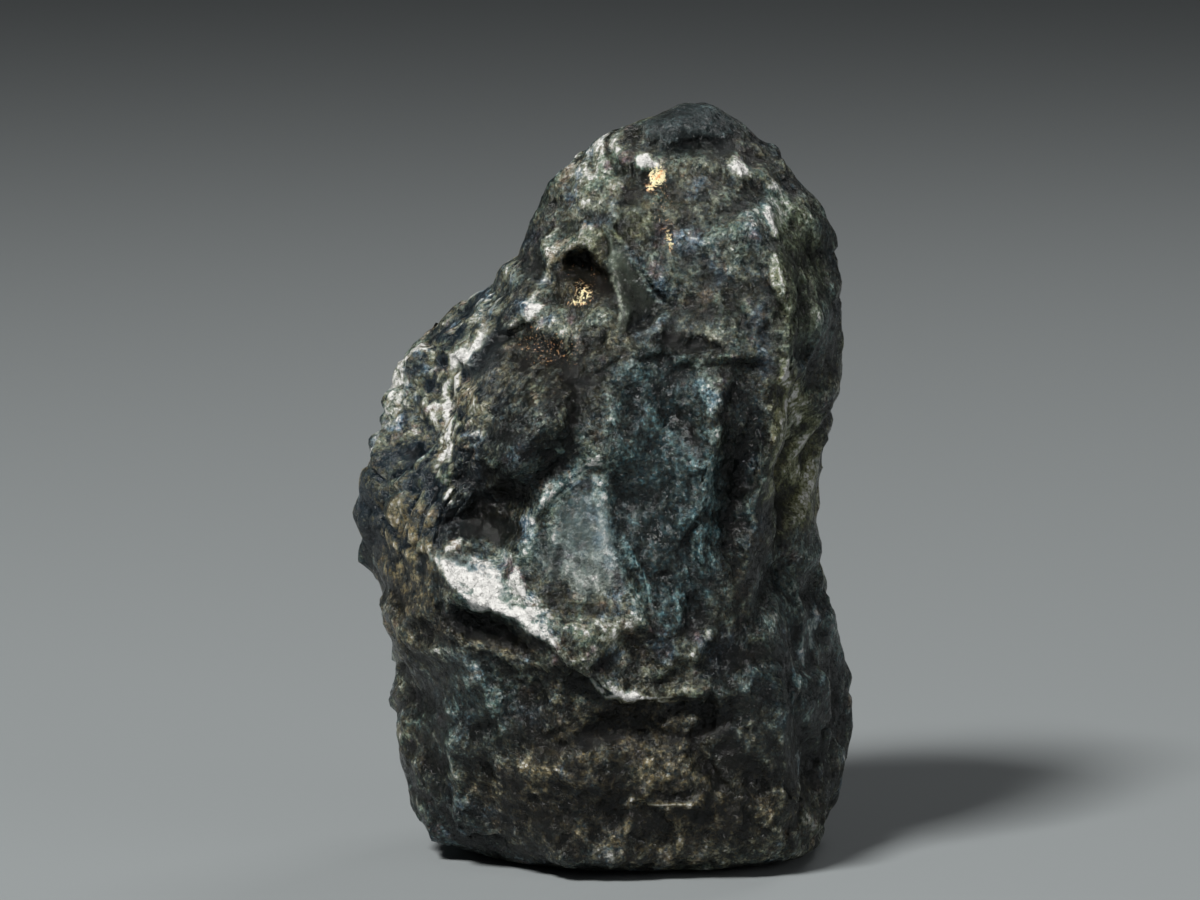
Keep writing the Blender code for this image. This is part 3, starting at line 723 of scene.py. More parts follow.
def front_facing(normals):
    """1 where the surface faces the front, fading to 0 where it turns to the side."""
    return ease(0.0, 0.35, -normals[:, 1])


print("share of points on the front:", front_facing(broad_normals).mean().round(2))

# %% How light the front is, with painted highlights
# Areas and lines that several skins share
TRIANGLE = [(-0.6, 10.8), (-0.42, 9.2), (0.38, 9.55)]
SLOT = [(-3.0, 8.2), (-2.7, 8.65), (-2.1, 9.15)]
LEDGE_AREA = [(-3.5, 5.75), (-3.1, 4.95), (-1.3, 4.05), (-1.55, 4.8), (-2.1, 5.7)]
OLIVE_STRIP = [(2.05, 6.4), (2.3, 5.6), (3.1, 5.7), (3.1, 7.5), (2.2, 9.0)]
UPPER_RIGHT = [(2.3, 8.6), (3.3, 8.6), (3.2, 10.9), (2.3, 11.2)]
# About 0.4 on the dark body, 0.7 where it is frosted grey, 1 on white mica. The marks along the ledge, the
# window's rims, the lip and its ridges, the small ridge below and the gold glint's white core are painted
# highlights.
PALE_AND_HIGHLIGHTS = marks(patch, [
    ([(-1.9, 10.2), (-1.3, 9.9), (-0.5, 10.5), (-0.1, 12.2), (-1.3, 12.5)], 0.3, 0.71),
    ([(-0.3, 9.0), (2.1, 8.8), (2.4, 11.3), (1.6, 12.0), (-0.1, 12.0)], 0.35, 0.57),
    ([(-1.9, 9.0), (-0.5, 8.7), (-0.4, 9.6), (-1.3, 9.7)], 0.25, 0.6), (TRIANGLE, 0.05, 0.52),
    ([(-0.5, 8.0), (2.0, 8.1), (2.0, 8.9), (-0.5, 8.9)], 0.35, 0.56), (UPPER_RIGHT, 0.3, 0.56),
    ([(-0.98, 7.25), (-2.1, 5.6), (-1.9, 4.8), (-0.3, 3.6), (0.12, 4.9), (-0.25, 6.0)], 0.12, 0.62),
    ([(-0.98, 7.1), (-1.95, 5.7), (-1.3, 4.8), (-0.4, 4.8), (-0.15, 5.9)], 0.18, 0.68),
    # Painted highlight over the ledge, whitest at its left end
    (LEDGE_AREA, 0.12, 0.88),
    ([(-3.5, 5.65), (-3.2, 5.1), (-2.3, 4.68), (-1.9, 4.5), (-2.2, 4.95), (-2.9, 5.42)], 0.14, 1.1),
    (OLIVE_STRIP, 0.14, 0.68),
]) + marks(spot, [
    ((-0.55, 12.1), (0.35, 0.45), 0.76, -20), ((2.3, 11.1), (0.3, 0.5), 0.84),
    ((2.25, 10.1), (0.3, 0.6), 0.74), ((1.55, 11.75), (0.25, 0.35), 0.88, 20),
    ((2.25, 9.2), (0.3, 0.3), 0.66), ((-3.9, 5.6), (0.8, 1.4), 0.58), ((-0.3, 3.85), (0.25, 0.3), 0.85),
    # The gold glint's white core, at 1.1, is a painted highlight
    ((0.3, 3.7), (1.3, 0.6), 0.62, 15), ((0.1, 11.9), (0.3, 0.17), 1.1, -20), ((2.4, 4.8), (0.9, 0.9), 0.6),
    ((1.5, 3.3), (0.5, 0.4), 0.52), ((-3.2, 3.4), (0.8, 0.9), 0.54), ((-2.1, 2.3), (0.5, 0.35), 0.5),
    ((3.0, 2.4), (0.35, 0.7), 0.5), ((-2.3, 1.3), (0.5, 0.3), 0.5), ((3.1, 3.6), (0.4, 0.6), 0.55),
]) + marks(streak, [
    ([(1.15, 5.0), (1.1, 6.2), (1.2, 7.4), (1.1, 8.7)], 0.5, 0.6),
    # Painted highlights on the window's rims, the ledge and the lip with its ridges
    ([(-1.9, 5.9), (-1.25, 6.85), (-0.95, 7.1), (-0.75, 6.9), (-0.45, 6.2)], 0.55, 0.78),
    ([(-0.45, 6.1), (-0.15, 5.6), (0.02, 5.0), (0.05, 4.4)], 0.4, 0.76),
    ([(-1.5, 5.2), (-0.9, 5.0), (-0.6, 4.4), (-0.9, 3.8)], 0.3, 0.7),
    ([(-2.5, 4.95), (-1.9, 4.65), (-1.3, 4.1)], 0.36, 1.0),
    ([(-0.3, 3.5), (0.27, 3.7), (0.91, 3.9), (1.3, 4.5)], 0.24, 0.76),
    ([(-0.45, 3.35), (-0.1, 3.2), (0.5, 3.1)], 0.2, 1.0),
    ([(-2.6, 9.1), (-3.0, 8.5), (-3.25, 7.6), (-3.2, 6.8)], 0.4, 0.85),
    ([(-3.4, 7.0), (-3.2, 6.4), (-2.95, 5.9)], 0.2, 0.85),
    ([(-2.1, 9.0), (-1.6, 9.6), (-1.45, 10.1)], 0.5, 0.85),
    ([(2.28, 8.9), (2.4, 8.1), (2.62, 7.5), (2.75, 6.8)], 0.3, 1.0),
    ([(2.5, 3.2), (2.8, 3.8), (3.0, 4.3)], 0.4, 0.85), ([(1.4, 4.3), (1.9, 5.0), (2.3, 5.5)], 0.35, 0.6),
    ([(-0.16, 1.5), (0.3, 1.3), (0.8, 1.25)], 0.14, 0.9), ([(0.46, 2.7), (0.52, 2.4)], 0.09, 0.8),
])
print(len(PALE_AND_HIGHLIGHTS), "light marks")

# %% Painted highlights on edges, painted shade and dark places
# Painted highlights, thin bright lines with crisp edges: the triangle, the rims of the window, the lip, the
# small ridge below
HIGHLIGHT_LINES = marks(streak, [
    ([(-0.62, 10.95), (-0.1, 10.28), (0.46, 9.5)], 0.19, 0.8),
    ([(-0.52, 10.2), (-0.42, 9.8), (-0.45, 9.0)], 0.17, 0.84),
    ([(-0.6, 10.8), (-0.42, 11.0), (-0.28, 11.25)], 0.16, 0.68),
    ([(-1.12, 9.35), (-1.18, 9.0), (-1.1, 8.7)], 0.1, 0.75),
    ([(-1.6, 6.2), (-0.98, 7.05), (-0.7, 6.8)], 0.14, 0.85),
    ([(-0.4, 6.0), (-0.15, 5.75), (0.05, 5.2), (0.1, 4.6)], 0.1, 0.85),
    ([(-1.1, 3.75), (-0.5, 3.25), (0.15, 3.12), (0.7, 3.25)], 0.12, 1.0),
    ([(-0.16, 1.55), (0.3, 1.33), (0.8, 1.3)], 0.1, 1.0),
])
# Painted shade, darker than the body: in the recess, the notch, the slot, the grooves and the undercut,
# on the triangle's face and the right dome, which turn from the key light, and over the lower body and foot.
# The barrel and the knob are darker in their own colour as well.
SHADE_AND_DARK = marks(spot, [
    ((-2.4, 6.3), (1.0, 1.0), 0.07), ((2.2, 2.7), (1.6, 1.4), 0.15), ((-1.1, 10.5), (0.6, 0.35), 0.12, -20),
    ((-2.1, 7.8), (1.3, 1.2), 0.12), ((0.85, 12.5), (0.9, 0.5), 0.12),
    ((-1.0, 10.07), (0.6, 0.42), 0.34, -12), ((-1.0, 6.2), (0.35, 0.5), 0.08),
    ((0.0, 1.6), (5.0, 2.6), 0.09), ((0.3, 0.5), (3.5, 0.8), 0.1),
]) + marks(patch, [
    ([(1.3, 4.8), (2.1, 4.8), (2.1, 8.3), (1.35, 8.3)], 0.25, 0.12),
    ([(-0.5, 10.3), (-0.4, 9.1), (0.3, 9.5)], 0.08, 0.12),
    ([(-1.4, 10.2), (-0.7, 10.2), (-0.58, 10.85)], 0.14, 0.14),
]) + marks(streak, [
    (SLOT, 0.36, 0.25), ([(0.3, 9.08), (0.55, 8.9), (0.78, 8.98), (1.05, 8.84)], 0.4, 0.25),
    ([(-3.3, 4.7), (-2.5, 4.35), (-1.6, 4.0)], 0.5, 0.2),
])
print(len(HIGHLIGHT_LINES), "bright edges and", len(SHADE_AND_DARK), "dark marks")

# %% Colours and gloss on the front
TEAL = marks(spot, [
    ((0.4, 6.7), (1.3, 3.0), 1.0, 3), ((0.63, 4.7), (0.6, 0.6), 1.0), ((1.65, 7.0), (0.6, 2.2), 0.5),
    ((2.2, 2.7), (1.6, 1.5), 0.35), ((-3.0, 3.0), (1.2, 1.5), 0.4), ((2.5, 4.8), (1.0, 1.0), 0.6),
    ((0.85, 12.5), (1.0, 0.6), 0.9),
]) + marks(patch, [(UPPER_RIGHT, 0.3, 0.6)])
EARTH = marks(spot, [
    ((-3.9, 5.3), (0.9, 1.4), 0.9), ((-1.0, 10.0), (0.7, 0.6), 1.0), ((-2.1, 8.2), (1.3, 1.1), 0.35),
    ((0.0, 1.7), (3.4, 1.8), 0.9), ((-3.6, 3.6), (0.6, 0.9), 0.7), ((2.4, 4.8), (0.9, 0.9), 0.3),
    ((0.2, 9.0), (1.3, 0.4), 0.5),
]) + marks(streak, [([(-3.4, 4.5), (-2.7, 4.05), (-1.9, 4.0)], 0.6, 1.0)])
OLIVE = marks(patch, [
    (OLIVE_STRIP, 0.14, 0.7), ([(-1.3, 10.1), (-0.6, 9.85), (-0.4, 10.3), (-0.63, 10.9)], 0.1, 0.3),
    (TRIANGLE, 0.06, 0.32),
]) + marks(spot, [((-0.2, 10.9), (0.45, 0.5), 0.5), ((2.6, 10.0), (0.6, 1.6), 0.5)])
# Gold mica flakes whose glint is painted in as bright gold specks
GOLD_GLINTS = marks(spot, [
    ((0.21, 11.66), (0.17, 0.32), 0.7, -25), ((0.47, 10.62), (0.1, 0.2), 0.5, 10),
    ((-0.98, 9.72), (0.15, 0.3), 0.45, -25), ((-1.5, 8.95), (0.65, 0.45), 0.17),
    ((-0.9, 10.0), (0.5, 0.3), 0.08),
]) + marks(streak, [([(0.1, 11.7), (0.32, 11.3), (0.47, 10.5)], 0.5, 0.2)])
GLASS = marks(spot, [
    ((0.85, 12.5), (0.9, 0.55), 0.5), ((2.2, 2.7), (1.3, 1.2), 0.6), ((0.35, 6.9), (0.9, 2.3), 0.7, 3),
    ((-3.2, 2.8), (1.0, 1.4), 0.4), ((-0.93, 6.15), (0.55, 0.75), 1.0), ((-2.4, 6.2), (0.9, 1.0), 0.2),
]) + marks(streak, [(SLOT, 0.4, 0.9)]) + marks(patch, [
    ([(1.25, 4.8), (2.1, 4.8), (2.1, 8.3), (1.25, 8.3)], 0.2, 0.5), (TRIANGLE, 0.06, 1.0),
])
# Smooth places, where the noise on the tone is weaker
CALM = marks(patch, [
    ([(-0.98, 6.8), (-1.75, 5.6), (-1.1, 4.9), (-0.4, 5.0), (-0.3, 5.9)], 0.2, 1.0),
    ([(-3.5, 5.65), (-3.1, 5.0), (-1.6, 4.3), (-2.2, 5.2)], 0.12, 0.8), (TRIANGLE, 0.06, 1.0),
]) + marks(spot, [((0.85, 12.5), (1.0, 0.6), 1.0)]) + marks(streak, [(SLOT, 0.4, 0.8)])
print(sum(map(len, (TEAL, EARTH, OLIVE, GOLD_GLINTS, GLASS, CALM))), "marks of colour and gloss")

# %% [markdown]
# On the sides and the back the same finishes go on in larger drifts of noise. They could be placed mark by
# mark too, but nothing there has to lie at a certain place, and the stone looks natural all the way round.

# %% Laying the zones
# Each skin with its front marks, the share of the other sides that it covers, and how strong it is there
SKINS = [
    ("light", PALE_AND_HIGHLIGHTS, 0.3, 0.65), ("dark", SHADE_AND_DARK, 0.3, 0.15), ("teal", TEAL, 0.3, 0.8),
    ("earth", EARTH, 0.35, 0.8), ("olive", OLIVE, 0.08, 0.8), ("gold_glint", GOLD_GLINTS, 0, 0),
    ("glass", GLASS, 0.3, 0.8), ("calm", CALM, 0.15, 0.7),
]
BODY_LIGHT, SHOULDER_LIGHT = 0.4, 0.26
RAGGED = [(0.3, 0.08, 101), (0.12, 0.035, 103)]
DRIFT_SIZE, DRIFT_EDGE, DRIFT_SEED = 1.8, 0.12, 60
UPPER_CALM = 0.15
BLOTCHY_SIDES = 0.7


def painted(place, rows):
    """The strongest of the marks at each place."""
    return np.max([mark(place, *sizes) for mark, *sizes in rows], axis=0)


def drift(points, seed, share):
    """Soft-edged patches that cover about this share of the surface: noise above its own quantile."""
    swell = lattice_noise(points, DRIFT_SIZE, seed)
    level = np.quantile(swell, 1 - share)
    return ease(level - DRIFT_EDGE, level + DRIFT_EDGE, swell)


def lay_zones(points, normals):
    """Front marks where the surface faces the front, drifts of noise elsewhere."""
    place = wavering(places_seen(points, FROM_FRONT), points, RAGGED)
    front = front_facing(normals)
    zones = {}
    for number, (name, rows, cover, strength) in enumerate(SKINS):
        around = strength * drift(points, DRIFT_SEED + number, cover) if cover else 0
        zones[name] = front * painted(place, rows) + (1 - front) * around
    shoulder = on_shoulder(points)
    body = BODY_LIGHT + (SHOULDER_LIGHT - BODY_LIGHT) * shoulder
    # Noise breaks the pale skin into scraps, except on the whitest marks, such as the painted highlight on
    # the ledge, and where it is smooth
    whole = ease(-0.9, 0.2, lattice_noise(points, 0.35, 105))
    whole = np.max([whole, ease(0.9, 1.1, zones["light"]), np.clip(zones["calm"], 0, 1)], axis=0)
    zones["calm"] += UPPER_CALM * ease(8.3, 9.3, points[:, 2])
    # Blotches of the lower body, the sides and the barrel
    low = ease(4.6, 3.4, points[:, 2])
    barrel = BLOTCHY_SIDES * front * spot(place, (-2.1, 7.8), (1.3, 1.3))
    zones["mottle"] = np.max([low, BLOTCHY_SIDES * (1 - front), barrel], axis=0)
    # Painted shade and dark marks come off the tone here
    zones["light"] = body + np.maximum(zones["light"] - body, 0) * whole - zones.pop("dark")
    # Painted highlights along edges, from places that waver less, so that they stay crisp
    zones["edge_highlight"] = front * painted(places_seen(points, FROM_FRONT), HIGHLIGHT_LINES)
    zones["shoulder"] = shoulder
    return zones


zones = lay_zones(broad, broad_normals)
print({name: float(mask.mean().round(3)) for name, mask in zones.items()})

# %% [markdown]
# ## Fine relief
#
# Broken chrysoberyl is rough at a tenth of a millimetre: small steps and dishes, grain, pits, fine ripples
# across the barrel and little nodules on the shoulder. A bump in the material could stand for them, but not
# on the outline or against the light, so all this is real shape. Glassy places keep little of it.

# %% Heights of the fine relief
FINE_STEPS = [(0.8, 0.02, 71)]
FINE_DISHES = [(0.5, 0.03, 73)]
FINE_CHIPS = [(0.4, 0.09, 92), (0.2, 0.1, 93)]
GRAIN = [(0.3, 0.012, 75), (0.13, 0.006, 76)]
STREAKY = np.array([1.0, 1.0, 0.5])
PIT_DEEP, CREASE_DEEP, RIPPLE_HIGH, FIBRE_HIGH = 0.05, 0.05, 0.04, 0.03
PITS = (0.45, 85, 0.34)
RIPPLES_APART = 0.19


def pits(points, size, seed, radius):
    """Small round pits, 1 in the middle of each, at the hearts of the cells."""
    nearest, _ = cell_distances(points, size, seed)
    return ease(radius, radius * 0.3, nearest)


def ripples(place):
    """Fine waves across the barrel: the sine of the height, bent at both sides and broken into stretches."""
    bend = place["up"] + 0.1 * place["across"] + 0.16 * (place["across"] + 2.1) ** 2
    stretches = ease(-0.5, 0.5, np.sin(3.1 * place["across"] + 7.7 * bend) + np.sin(5.3 * bend))
    return np.sin(2 * math.pi * bend / RIPPLES_APART) * stretches * spot(place, (-2.1, 7.7), (1.2, 1.3))


def fibres(points):
    """Noise drawn out five times along the ledge, which runs down to the right."""
    along = np.array([0.85, 0.0, -0.53])
    return lattice_noise(points - 0.8 * np.outer(points @ along, along), 0.14, 94)


def fine_broken(points):
    """Steps, dishes, tilted chips and grain of a broken surface, added up, in millimetres."""
    height = broken(warped(points, 0.5, 0.07, 81), FINE_STEPS, FINE_DISHES, FINE_CHIPS, scarp=0.2)
    return height + sum(high * lattice_noise(points, size, seed) for size, high, seed in GRAIN)


def upright_streaks(points):
    """1 on the right of the front between the undercut and the knob, where the grain stands upright."""
    x, _, z = points.T
    return ease(-0.8, 0.2, x) * ease(3.6, 5.0, z) * ease(11.3, 10.3, z)


def fine_height(points, normals, zones):
    """How far each point moves outwards: broken relief, weaker in glassy and sideways places, and details."""
    front = front_facing(normals)
    place = places_seen(points, FROM_FRONT)
    streaks = 0.7 * front * upright_streaks(points)
    height = (1 - streaks) * fine_broken(points) + streaks * fine_broken(points * STREAKY)
    height -= PIT_DEEP * pits(points, *PITS) * zones["earth"]
    height *= 1 - 0.6 * zones["glass"]
    size, _, seed = SHOULDER_NODULES
    bead = nodules(warped(points), size, seed)
    height = height * (1 - 0.5 * zones["shoulder"]) - CREASE_DEEP * ease(0.4, 0.1, bead) * zones["shoulder"]
    height *= 1 - 0.5 * ease(0.7, 0.95, np.abs(normals[:, 0]))
    height += RIPPLE_HIGH * ripples(place) * front
    height += FIBRE_HIGH * fibres(points) * patch(place, LEDGE_AREA, 0.15) * front
    return height * below_top(points), bead


height, bead = fine_height(broad, broad_normals, zones)
fine = broad + broad_normals * (height * above_foot(broad))[:, None]
fine[:, 2] = np.clip(fine[:, 2], 0, None)
print("fine relief from", height.min().round(3), "to", height.max().round(3), "mm")

# %% [markdown]
# ## The mesh
#
# Rings become quads, and the two poles are closed with fans of triangles. A sphere from Blender's menu has
# the same pattern, but its points would have to be matched to this grid, so the faces are counted out here.

# %% Building the mesh
def grid_faces():
    """Quads between neighbouring rings, and a fan at each pole, all turned outwards."""
    first = 1 + np.arange(UPWARD - 1)[:, None] * AROUND + np.arange(AROUND)[None, :]
    beside = np.roll(first, -1, axis=1)
    quads = np.stack([first[:-1], beside[:-1], beside[1:], first[1:]], axis=-1).reshape(-1, 4)
    foot_fan = np.stack([np.zeros(AROUND, int), beside[0], first[0]], axis=1)
    top_fan = np.stack([np.full(AROUND, len(angle) - 1), first[-1], beside[-1]], axis=1)
    return quads.tolist() + foot_fan.tolist() + top_fan.tolist()


mesh = bpy.data.meshes.new("alexandrite_skin")
mesh.from_pydata((fine * MM).tolist(), [], grid_faces())
mesh.shade_smooth()
crystal = add_object("alexandrite_skin", mesh)
print(len(mesh.vertices), "points,", sum(len(p.vertices) - 2 for p in mesh.polygons), "triangles")

# %% [markdown]
# The masks go onto the mesh as attributes, one number for each point, which the material can read. Crests and
# hollows are found twice, over a narrow and a wide neighbourhood, for a painted highlight on crests and
# painted shade in hollows.

# %% Masks as attributes
def crest_and_pit(points, passes, full):
    """Height over the neighbourhood, split into crests and hollows that are 1 at the full height."""
    over = np.einsum("ij,ij->i", points - neighbourhood_mean(points, passes), grid_normals(points))
    return np.clip(over / full, 0, 1), np.clip(-over / full, 0, 1)


# Crests get a painted highlight and hollows painted shade from these masks
crest, hollow_shade = crest_and_pit(fine, 10, 0.03)
broad_crest, broad_hole = crest_and_pit(fine, 60, 0.09)
skins = dict(zones)
skins["crest"] = np.maximum(crest, 0.7 * broad_crest)
skins["hollow_shade"] = np.clip(0.6 * hollow_shade + 0.8 * broad_hole, 0, 1)
# A pale net in the creases between the shoulder's nodules, above the barrel
skins["net"] = ease(0.85, 0.45, bead + 0.25 * lattice_noise(broad, 0.4, 107)) * zones["shoulder"]
skins["net"] *= ease(6.0, 7.6, broad[:, 2])
for name, values in skins.items():
    mesh.attributes.new(name, "FLOAT", "POINT").data.foreach_set("value", values.astype(np.float32))
print("attributes:", sorted(skins))

# %% [markdown]
# ## The finish
#
# One number, the tone, says how light each place is, from 0 (near black) to 1 (white mica and the painted
# highlights). Noises of four sizes and single grains push it up and down, rare grains are painted glints,
# crests get a painted highlight and hollows painted shade, and the albedo grows by the same factor with each
# step. Separate materials for grey, black and teal would meet in edges. Here the skin goes from glassy dark
# to frosted grey with none, and the tints lie over it in the same way.

# %% Node helpers
material = bpy.data.materials.new("rough_alexandrite")
material.use_nodes = True
tree = material.node_tree
shader = tree.nodes["Principled BSDF"]
place_coords = tree.nodes.new("ShaderNodeTexCoord").outputs["Object"]


def feed(socket, value):
    """Links an output into a socket, or sets a plain value on it."""
    if isinstance(value, bpy.types.NodeSocket):
        tree.links.new(value, socket)
    else:
        socket.default_value = value


def node(kind, inputs, **settings):
    """A new node of this kind, with its settings made and its inputs fed by name or number."""
    made = tree.nodes.new("ShaderNode" + kind)
    for name, value in settings.items():
        setattr(made, name, value)
    for socket, value in inputs.items():
        feed(made.inputs[socket], value)
    return made


def noise(size_mm, detail=2.0, rough=0.5, twist=0.0, coords=place_coords):
    """Noise whose swells are about this many millimetres apart, from 0 to 1."""
    size = {"Vector": coords, "Scale": 1 / (size_mm * MM)}
    made = node("TexNoise", size | {"Detail": detail, "Roughness": rough, "Distortion": twist})
    return made.outputs["Fac"]


def scattered_cells(size_mm):
    """Cells around scattered hearts about this many millimetres apart, each with a random colour."""
    return node("TexVoronoi", {"Vector": place_coords, "Scale": 1 / (size_mm * MM)})


def mask(name):
    """One of the masks that the mesh carries."""
    return node("Attribute", {}, attribute_name=name).outputs["Fac"]


def maths(kind, a, b=0.0, c=0.0):
    """One sum on two or three values."""
    return node("Math", {0: a, 1: b, 2: c}, operation=kind).outputs[0]


def times(a, b):
    """The product of two values."""
    return maths("MULTIPLY", a, b)


def vector_maths(kind, a, b):
    """One step on two vectors, or on a vector and a number where the kind is SCALE."""
    made = node("VectorMath", {0: a, "Scale" if kind == "SCALE" else 1: b}, operation=kind)
    return made.outputs["Value" if kind == "DOT_PRODUCT" else "Vector"]


def between(value, low, high):
    """0 below low, 1 above high, smooth between."""
    ends = {"Value": value, "From Min": low, "From Max": high}
    return node("MapRange", ends, interpolation_type="SMOOTHSTEP").outputs["Result"]


def mixed(amount, a, b):
    """Colour a turned into colour b by the amount."""
    return node("Mix", {"Factor": amount, 6: a, 7: b}, data_type="RGBA").outputs[2]


def swing(texture):
    """A noise from -0.5 to 0.5."""
    return maths("SUBTRACT", texture, 0.5)


def stretched(texture):
    """A noise pulled out about its middle, so that it uses the whole way from 0 to 1."""
    return maths("MULTIPLY_ADD", swing(texture), 2.6, 0.5)


def added(*terms):
    """The sum of a first value and of (value, weight) pairs."""
    total = terms[0]
    for value, weight in terms[1:]:
        total = maths("MULTIPLY_ADD", value, weight, total)
    return total


def speckled(zone, texture, soft):
    """Specks that cover about the zone's share of the surface, and none where the zone is 0."""
    return times(between(maths("ADD", zone, texture), 1 - soft, 1 + soft), between(zone, 0.0, 0.1))


print("nodes to start with:", len(tree.nodes))

# %% Noises
cloud = stretched(noise(2.4, 3))
drifts = stretched(noise(1.0, 3, 0.6))
hues = stretched(noise(0.7, 4, 0.7))
warmth = stretched(noise(0.5, 4, 0.7, 0.3))
medium = stretched(noise(0.36, 4, 0.6, 0.3))
small = stretched(noise(0.13, 4, 0.65, 0.2))
tiny = stretched(noise(0.05, 3, 0.7))
chance = node("SeparateColor", {0: scattered_cells(0.05).outputs["Color"]})
grain, grain_hue = chance.outputs[0], chance.outputs[1]

# The upright grain of the crystal is noise drawn out upwards, five times, by a Mapping node
leaning = (0, math.radians(4), 0)
drawn_out = node("Mapping", {"Vector": place_coords, "Scale": (1, 1, 1 / 5), "Rotation": leaning})
upright = stretched(noise(0.1, 3, coords=drawn_out.outputs["Vector"]))
print("nodes with the noises:", len(tree.nodes))

# %% Colours
# The albedo at tone 0, and how many times more it is at tone 1
DARKEST, SPAN = 0.0028, 260
COOL_GREY = (0.50, 1.00, 0.97, 1)
WARM_GREY = (0.92, 1.00, 0.60, 1)
TEAL_TINT = (0.42, 1.03, 1.08, 1)
BROWN_TINT = (1.30, 1.00, 0.38, 1)
OLIVE_TINT = (1.02, 1.06, 0.36, 1)
CREAM = (1.02, 1.00, 0.96, 1)
PANE_GREY = (0.76, 1.00, 1.03, 1)
BLUE_GREY = (0.52, 0.97, 1.36, 1)
GREEN_GREY = (0.66, 1.08, 0.68, 1)
BEIGE = (1.40, 1.00, 0.62, 1)
ROSE = (1.40, 0.88, 0.96, 1)
BLUE_GRAIN = (0.50, 0.96, 1.36, 1)
BEIGE_GRAIN = (1.46, 1.03, 0.56, 1)
GOLD_WHITE = (1.00, 0.90, 0.54, 1)
RED_GOLD = (0.90, 0.36, 0.14, 1)

# %% Tone
# The push of the noises on the tone, less on the smooth pane, the glassy faces and the shoulder
weights = [(drifts, 0.14), (medium, 0.26), (small, 0.36), (tiny, 0.26), (grain, 0.18)]
push = added(0.0, *[(swing(texture), weight) for texture, weight in weights])
quiet = added(1.0, (mask("calm"), -0.55), (mask("glass"), -0.2), (mask("shoulder"), -0.3))
blotches = added(swing(medium), (swing(drifts), 0.5))
# Painted glints: rare grains made bright, most of them on crests
painted_glints = times(between(grain, 0.84, 0.94), between(added(medium, (mask("crest"), 0.6)), 0.55, 1.1))
# Crests get a painted highlight and hollows painted shade in the tone below
tone = added(
    mask("light"), (times(push, quiet), 1.0), (mask("crest"), 0.18), (mask("hollow_shade"), -0.2),
    (times(mask("net"), between(small, -0.3, 0.5)), 0.5),
    (times(swing(upright), maths("MAXIMUM", mask("teal"), 0.4)), 0.22),
    (times(blotches, mask("mottle")), 0.34), (painted_glints, 0.08),
)
# Painted highlights along edges raise the tone to their own brightness
tone = maths("MAXIMUM", tone, times(mask("edge_highlight"), between(small, -0.5, 0.7)))
tone = maths("MINIMUM", maths("MAXIMUM", tone, times(small, 0.16)), 1.0)
albedo = times(maths("POWER", SPAN, tone), DARKEST)
print("nodes with the tone:", len(tree.nodes))

# %% Tint
# Each tint goes over the ones before it, by its own amount
grain_tint = mixed(grain_hue, BLUE_GRAIN, BEIGE_GRAIN)
tint = mixed(between(added(cloud, (small, 0.4)), 0.3, 0.9), COOL_GREY, WARM_GREY)
for amount, over in [
    (between(hues, 0.55, 0.95), BLUE_GREY),
    (between(hues, 0.45, 0.05), GREEN_GREY),
    (between(warmth, 0.6, 1.0), BEIGE),
    (between(warmth, 0.35, -0.1), ROSE),
    (times(mask("earth"), between(small, 0.0, 0.7)), BROWN_TINT),
    (times(mask("teal"), between(added(drifts, (small, 0.6)), 0.0, 0.8)), TEAL_TINT),
    (maths("MULTIPLY_ADD", between(tone, 0.5, 0.9), -0.3, 0.4), grain_tint),
    (times(mask("shoulder"), between(tone, 0.6, 0.3)), BLUE_GREY),
    (times(mask("calm"), 0.65), PANE_GREY),
    (mask("olive"), OLIVE_TINT),
    (between(tone, 0.7, 1.0), CREAM),
]:
    tint = mixed(amount, tint, over)

# Painted glints of the gold mica flakes: specks, pale and dense where the mask is strong, red and sparse
# where it is weak
strong = between(mask("gold_glint"), 0.15, 0.5)
gleam = times(speckled(mask("gold_glint"), tiny, 0.1), added(0.4, (strong, 0.6)))
paleness = times(between(small, -0.1, 0.5), added(0.3, (strong, 0.7)))
skin = vector_maths("SCALE", tint, albedo)
feed(shader.inputs["Base Color"], mixed(gleam, skin, mixed(paleness, RED_GOLD, GOLD_WHITE)))
print("nodes with the colours:", len(tree.nodes))

# %% [markdown]
# Broken chrysoberyl shines like glass where it is fresh and is dull where it is frosted. A clear coat could
# give the shine, but the stone itself is what shines, so its own roughness rises with the tone. Below a tenth
# of a millimetre the relief is a bump: it is too fine for the mesh, and it never shows on the outline.

# %% Gloss and bump
rough = added(0.11, (between(tone, 0.2, 0.9), 0.2), (mask("glass"), -0.05), (between(medium, 0, 1), 0.06))
feed(shader.inputs["Roughness"], rough)
shader.inputs["IOR"].default_value = 1.75
shader.inputs["Specular IOR Level"].default_value = 0.18
shader.inputs["Metallic"].default_value = 0.0


def bumped(height, far_mm, under=None):
    """A bump this many millimetres high, on top of another one."""
    inputs = {"Strength": 1.0, "Distance": far_mm * MM, "Height": height}
    return node("Bump", inputs | ({"Normal": under} if under else {})).outputs["Normal"]


def facet_height(size_mm):
    """Tiny flat facets: in each cell the height grows along the cell's own random direction."""
    cells = scattered_cells(size_mm)
    offset = vector_maths("SUBTRACT", place_coords, cells.outputs["Position"])
    tilt = vector_maths("SUBTRACT", cells.outputs["Color"], (0.5, 0.5, 0.5))
    return times(vector_maths("DOT_PRODUCT", offset, tilt), 1 / (size_mm * MM))


harsh = maths("MULTIPLY_ADD", mask("glass"), -0.5, 1.0)
surface = None
for pattern, high_mm in ((medium, 0.03), (small, 0.025), (facet_height(0.08), 0.07), (tiny, 0.01)):
    surface = bumped(times(pattern, harsh), high_mm, surface)
feed(shader.inputs["Normal"], surface)
mesh.materials.append(material)
print("material has", len(tree.nodes), "nodes")

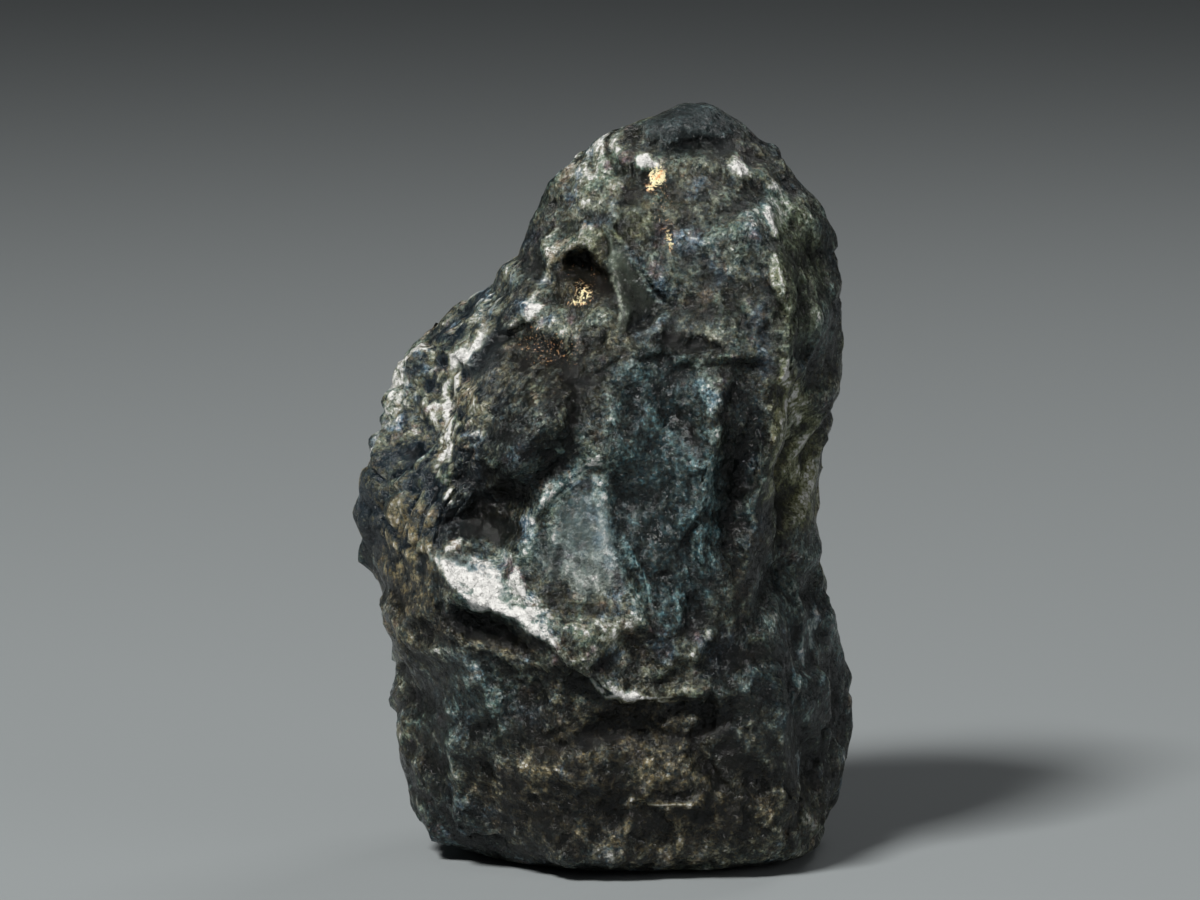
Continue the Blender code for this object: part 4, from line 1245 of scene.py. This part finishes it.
# %% [markdown]
# ## Floor and light
#
# A wide pale floor and soft lights: a large key above and in front on the left, a weaker one from the right,
# and a dim sky. A picture of a studio all round could light it too, but three lamps are plainer to set.

# %% The floor
FLOOR_HALF = 500 * MM
floor_mesh = bpy.data.meshes.new("floor")
corners = [(x * FLOOR_HALF, y * FLOOR_HALF, 0) for x, y in ((-1, -1), (1, -1), (1, 1), (-1, 1))]
floor_mesh.from_pydata(corners, [], [(0, 1, 2, 3)])
floor = add_object("floor", floor_mesh)
paper = bpy.data.materials.new("pale_floor")
paper.use_nodes = True
paper_shader = paper.node_tree.nodes["Principled BSDF"]
paper_shader.inputs["Base Color"].default_value = (0.250, 0.268, 0.272, 1)
paper_shader.inputs["Roughness"].default_value = 0.9
floor_mesh.materials.append(paper)
print("floor", round(2 * FLOOR_HALF, 2), "m wide")

# %% The lights
STONE_MIDDLE = np.array((-0.5, 0, 6.5))


def soft_light(name, where_mm, size_mm, watts, tint=(1, 1, 1)):
    """A square area light turned to the middle of the stone by two angles, from above and around."""
    data = bpy.data.lights.new(name, "AREA")
    data.size = size_mm * MM
    data.energy = watts
    data.color = tint
    light = add_object(name, data)
    light.location = [v * MM for v in where_mm]
    away = np.array(where_mm) - STONE_MIDDLE
    across = math.hypot(away[0], away[1])
    light.rotation_euler = (math.atan2(across, away[2]), 0, math.atan2(away[0], -away[1]))
    return light


soft_light("key", (-70, -90, 150), 40, 0.45, (1.0, 1.0, 0.99))
soft_light("fill", (120, -80, 60), 80, 0.025)
soft_light("back", (50, 70, 110), 50, 0.03)
world = bpy.data.worlds.new("studio")
world.use_nodes = True
world.node_tree.nodes["Background"].inputs["Color"].default_value = (0.5, 0.54, 0.58, 1)
world.node_tree.nodes["Background"].inputs["Strength"].default_value = 0.06
bpy.context.scene.world = world
bpy.context.scene.view_settings.view_transform = "Standard"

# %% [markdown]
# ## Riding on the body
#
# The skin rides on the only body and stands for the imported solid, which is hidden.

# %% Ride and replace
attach(crystal, "root")
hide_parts("alexandrite_crystal")
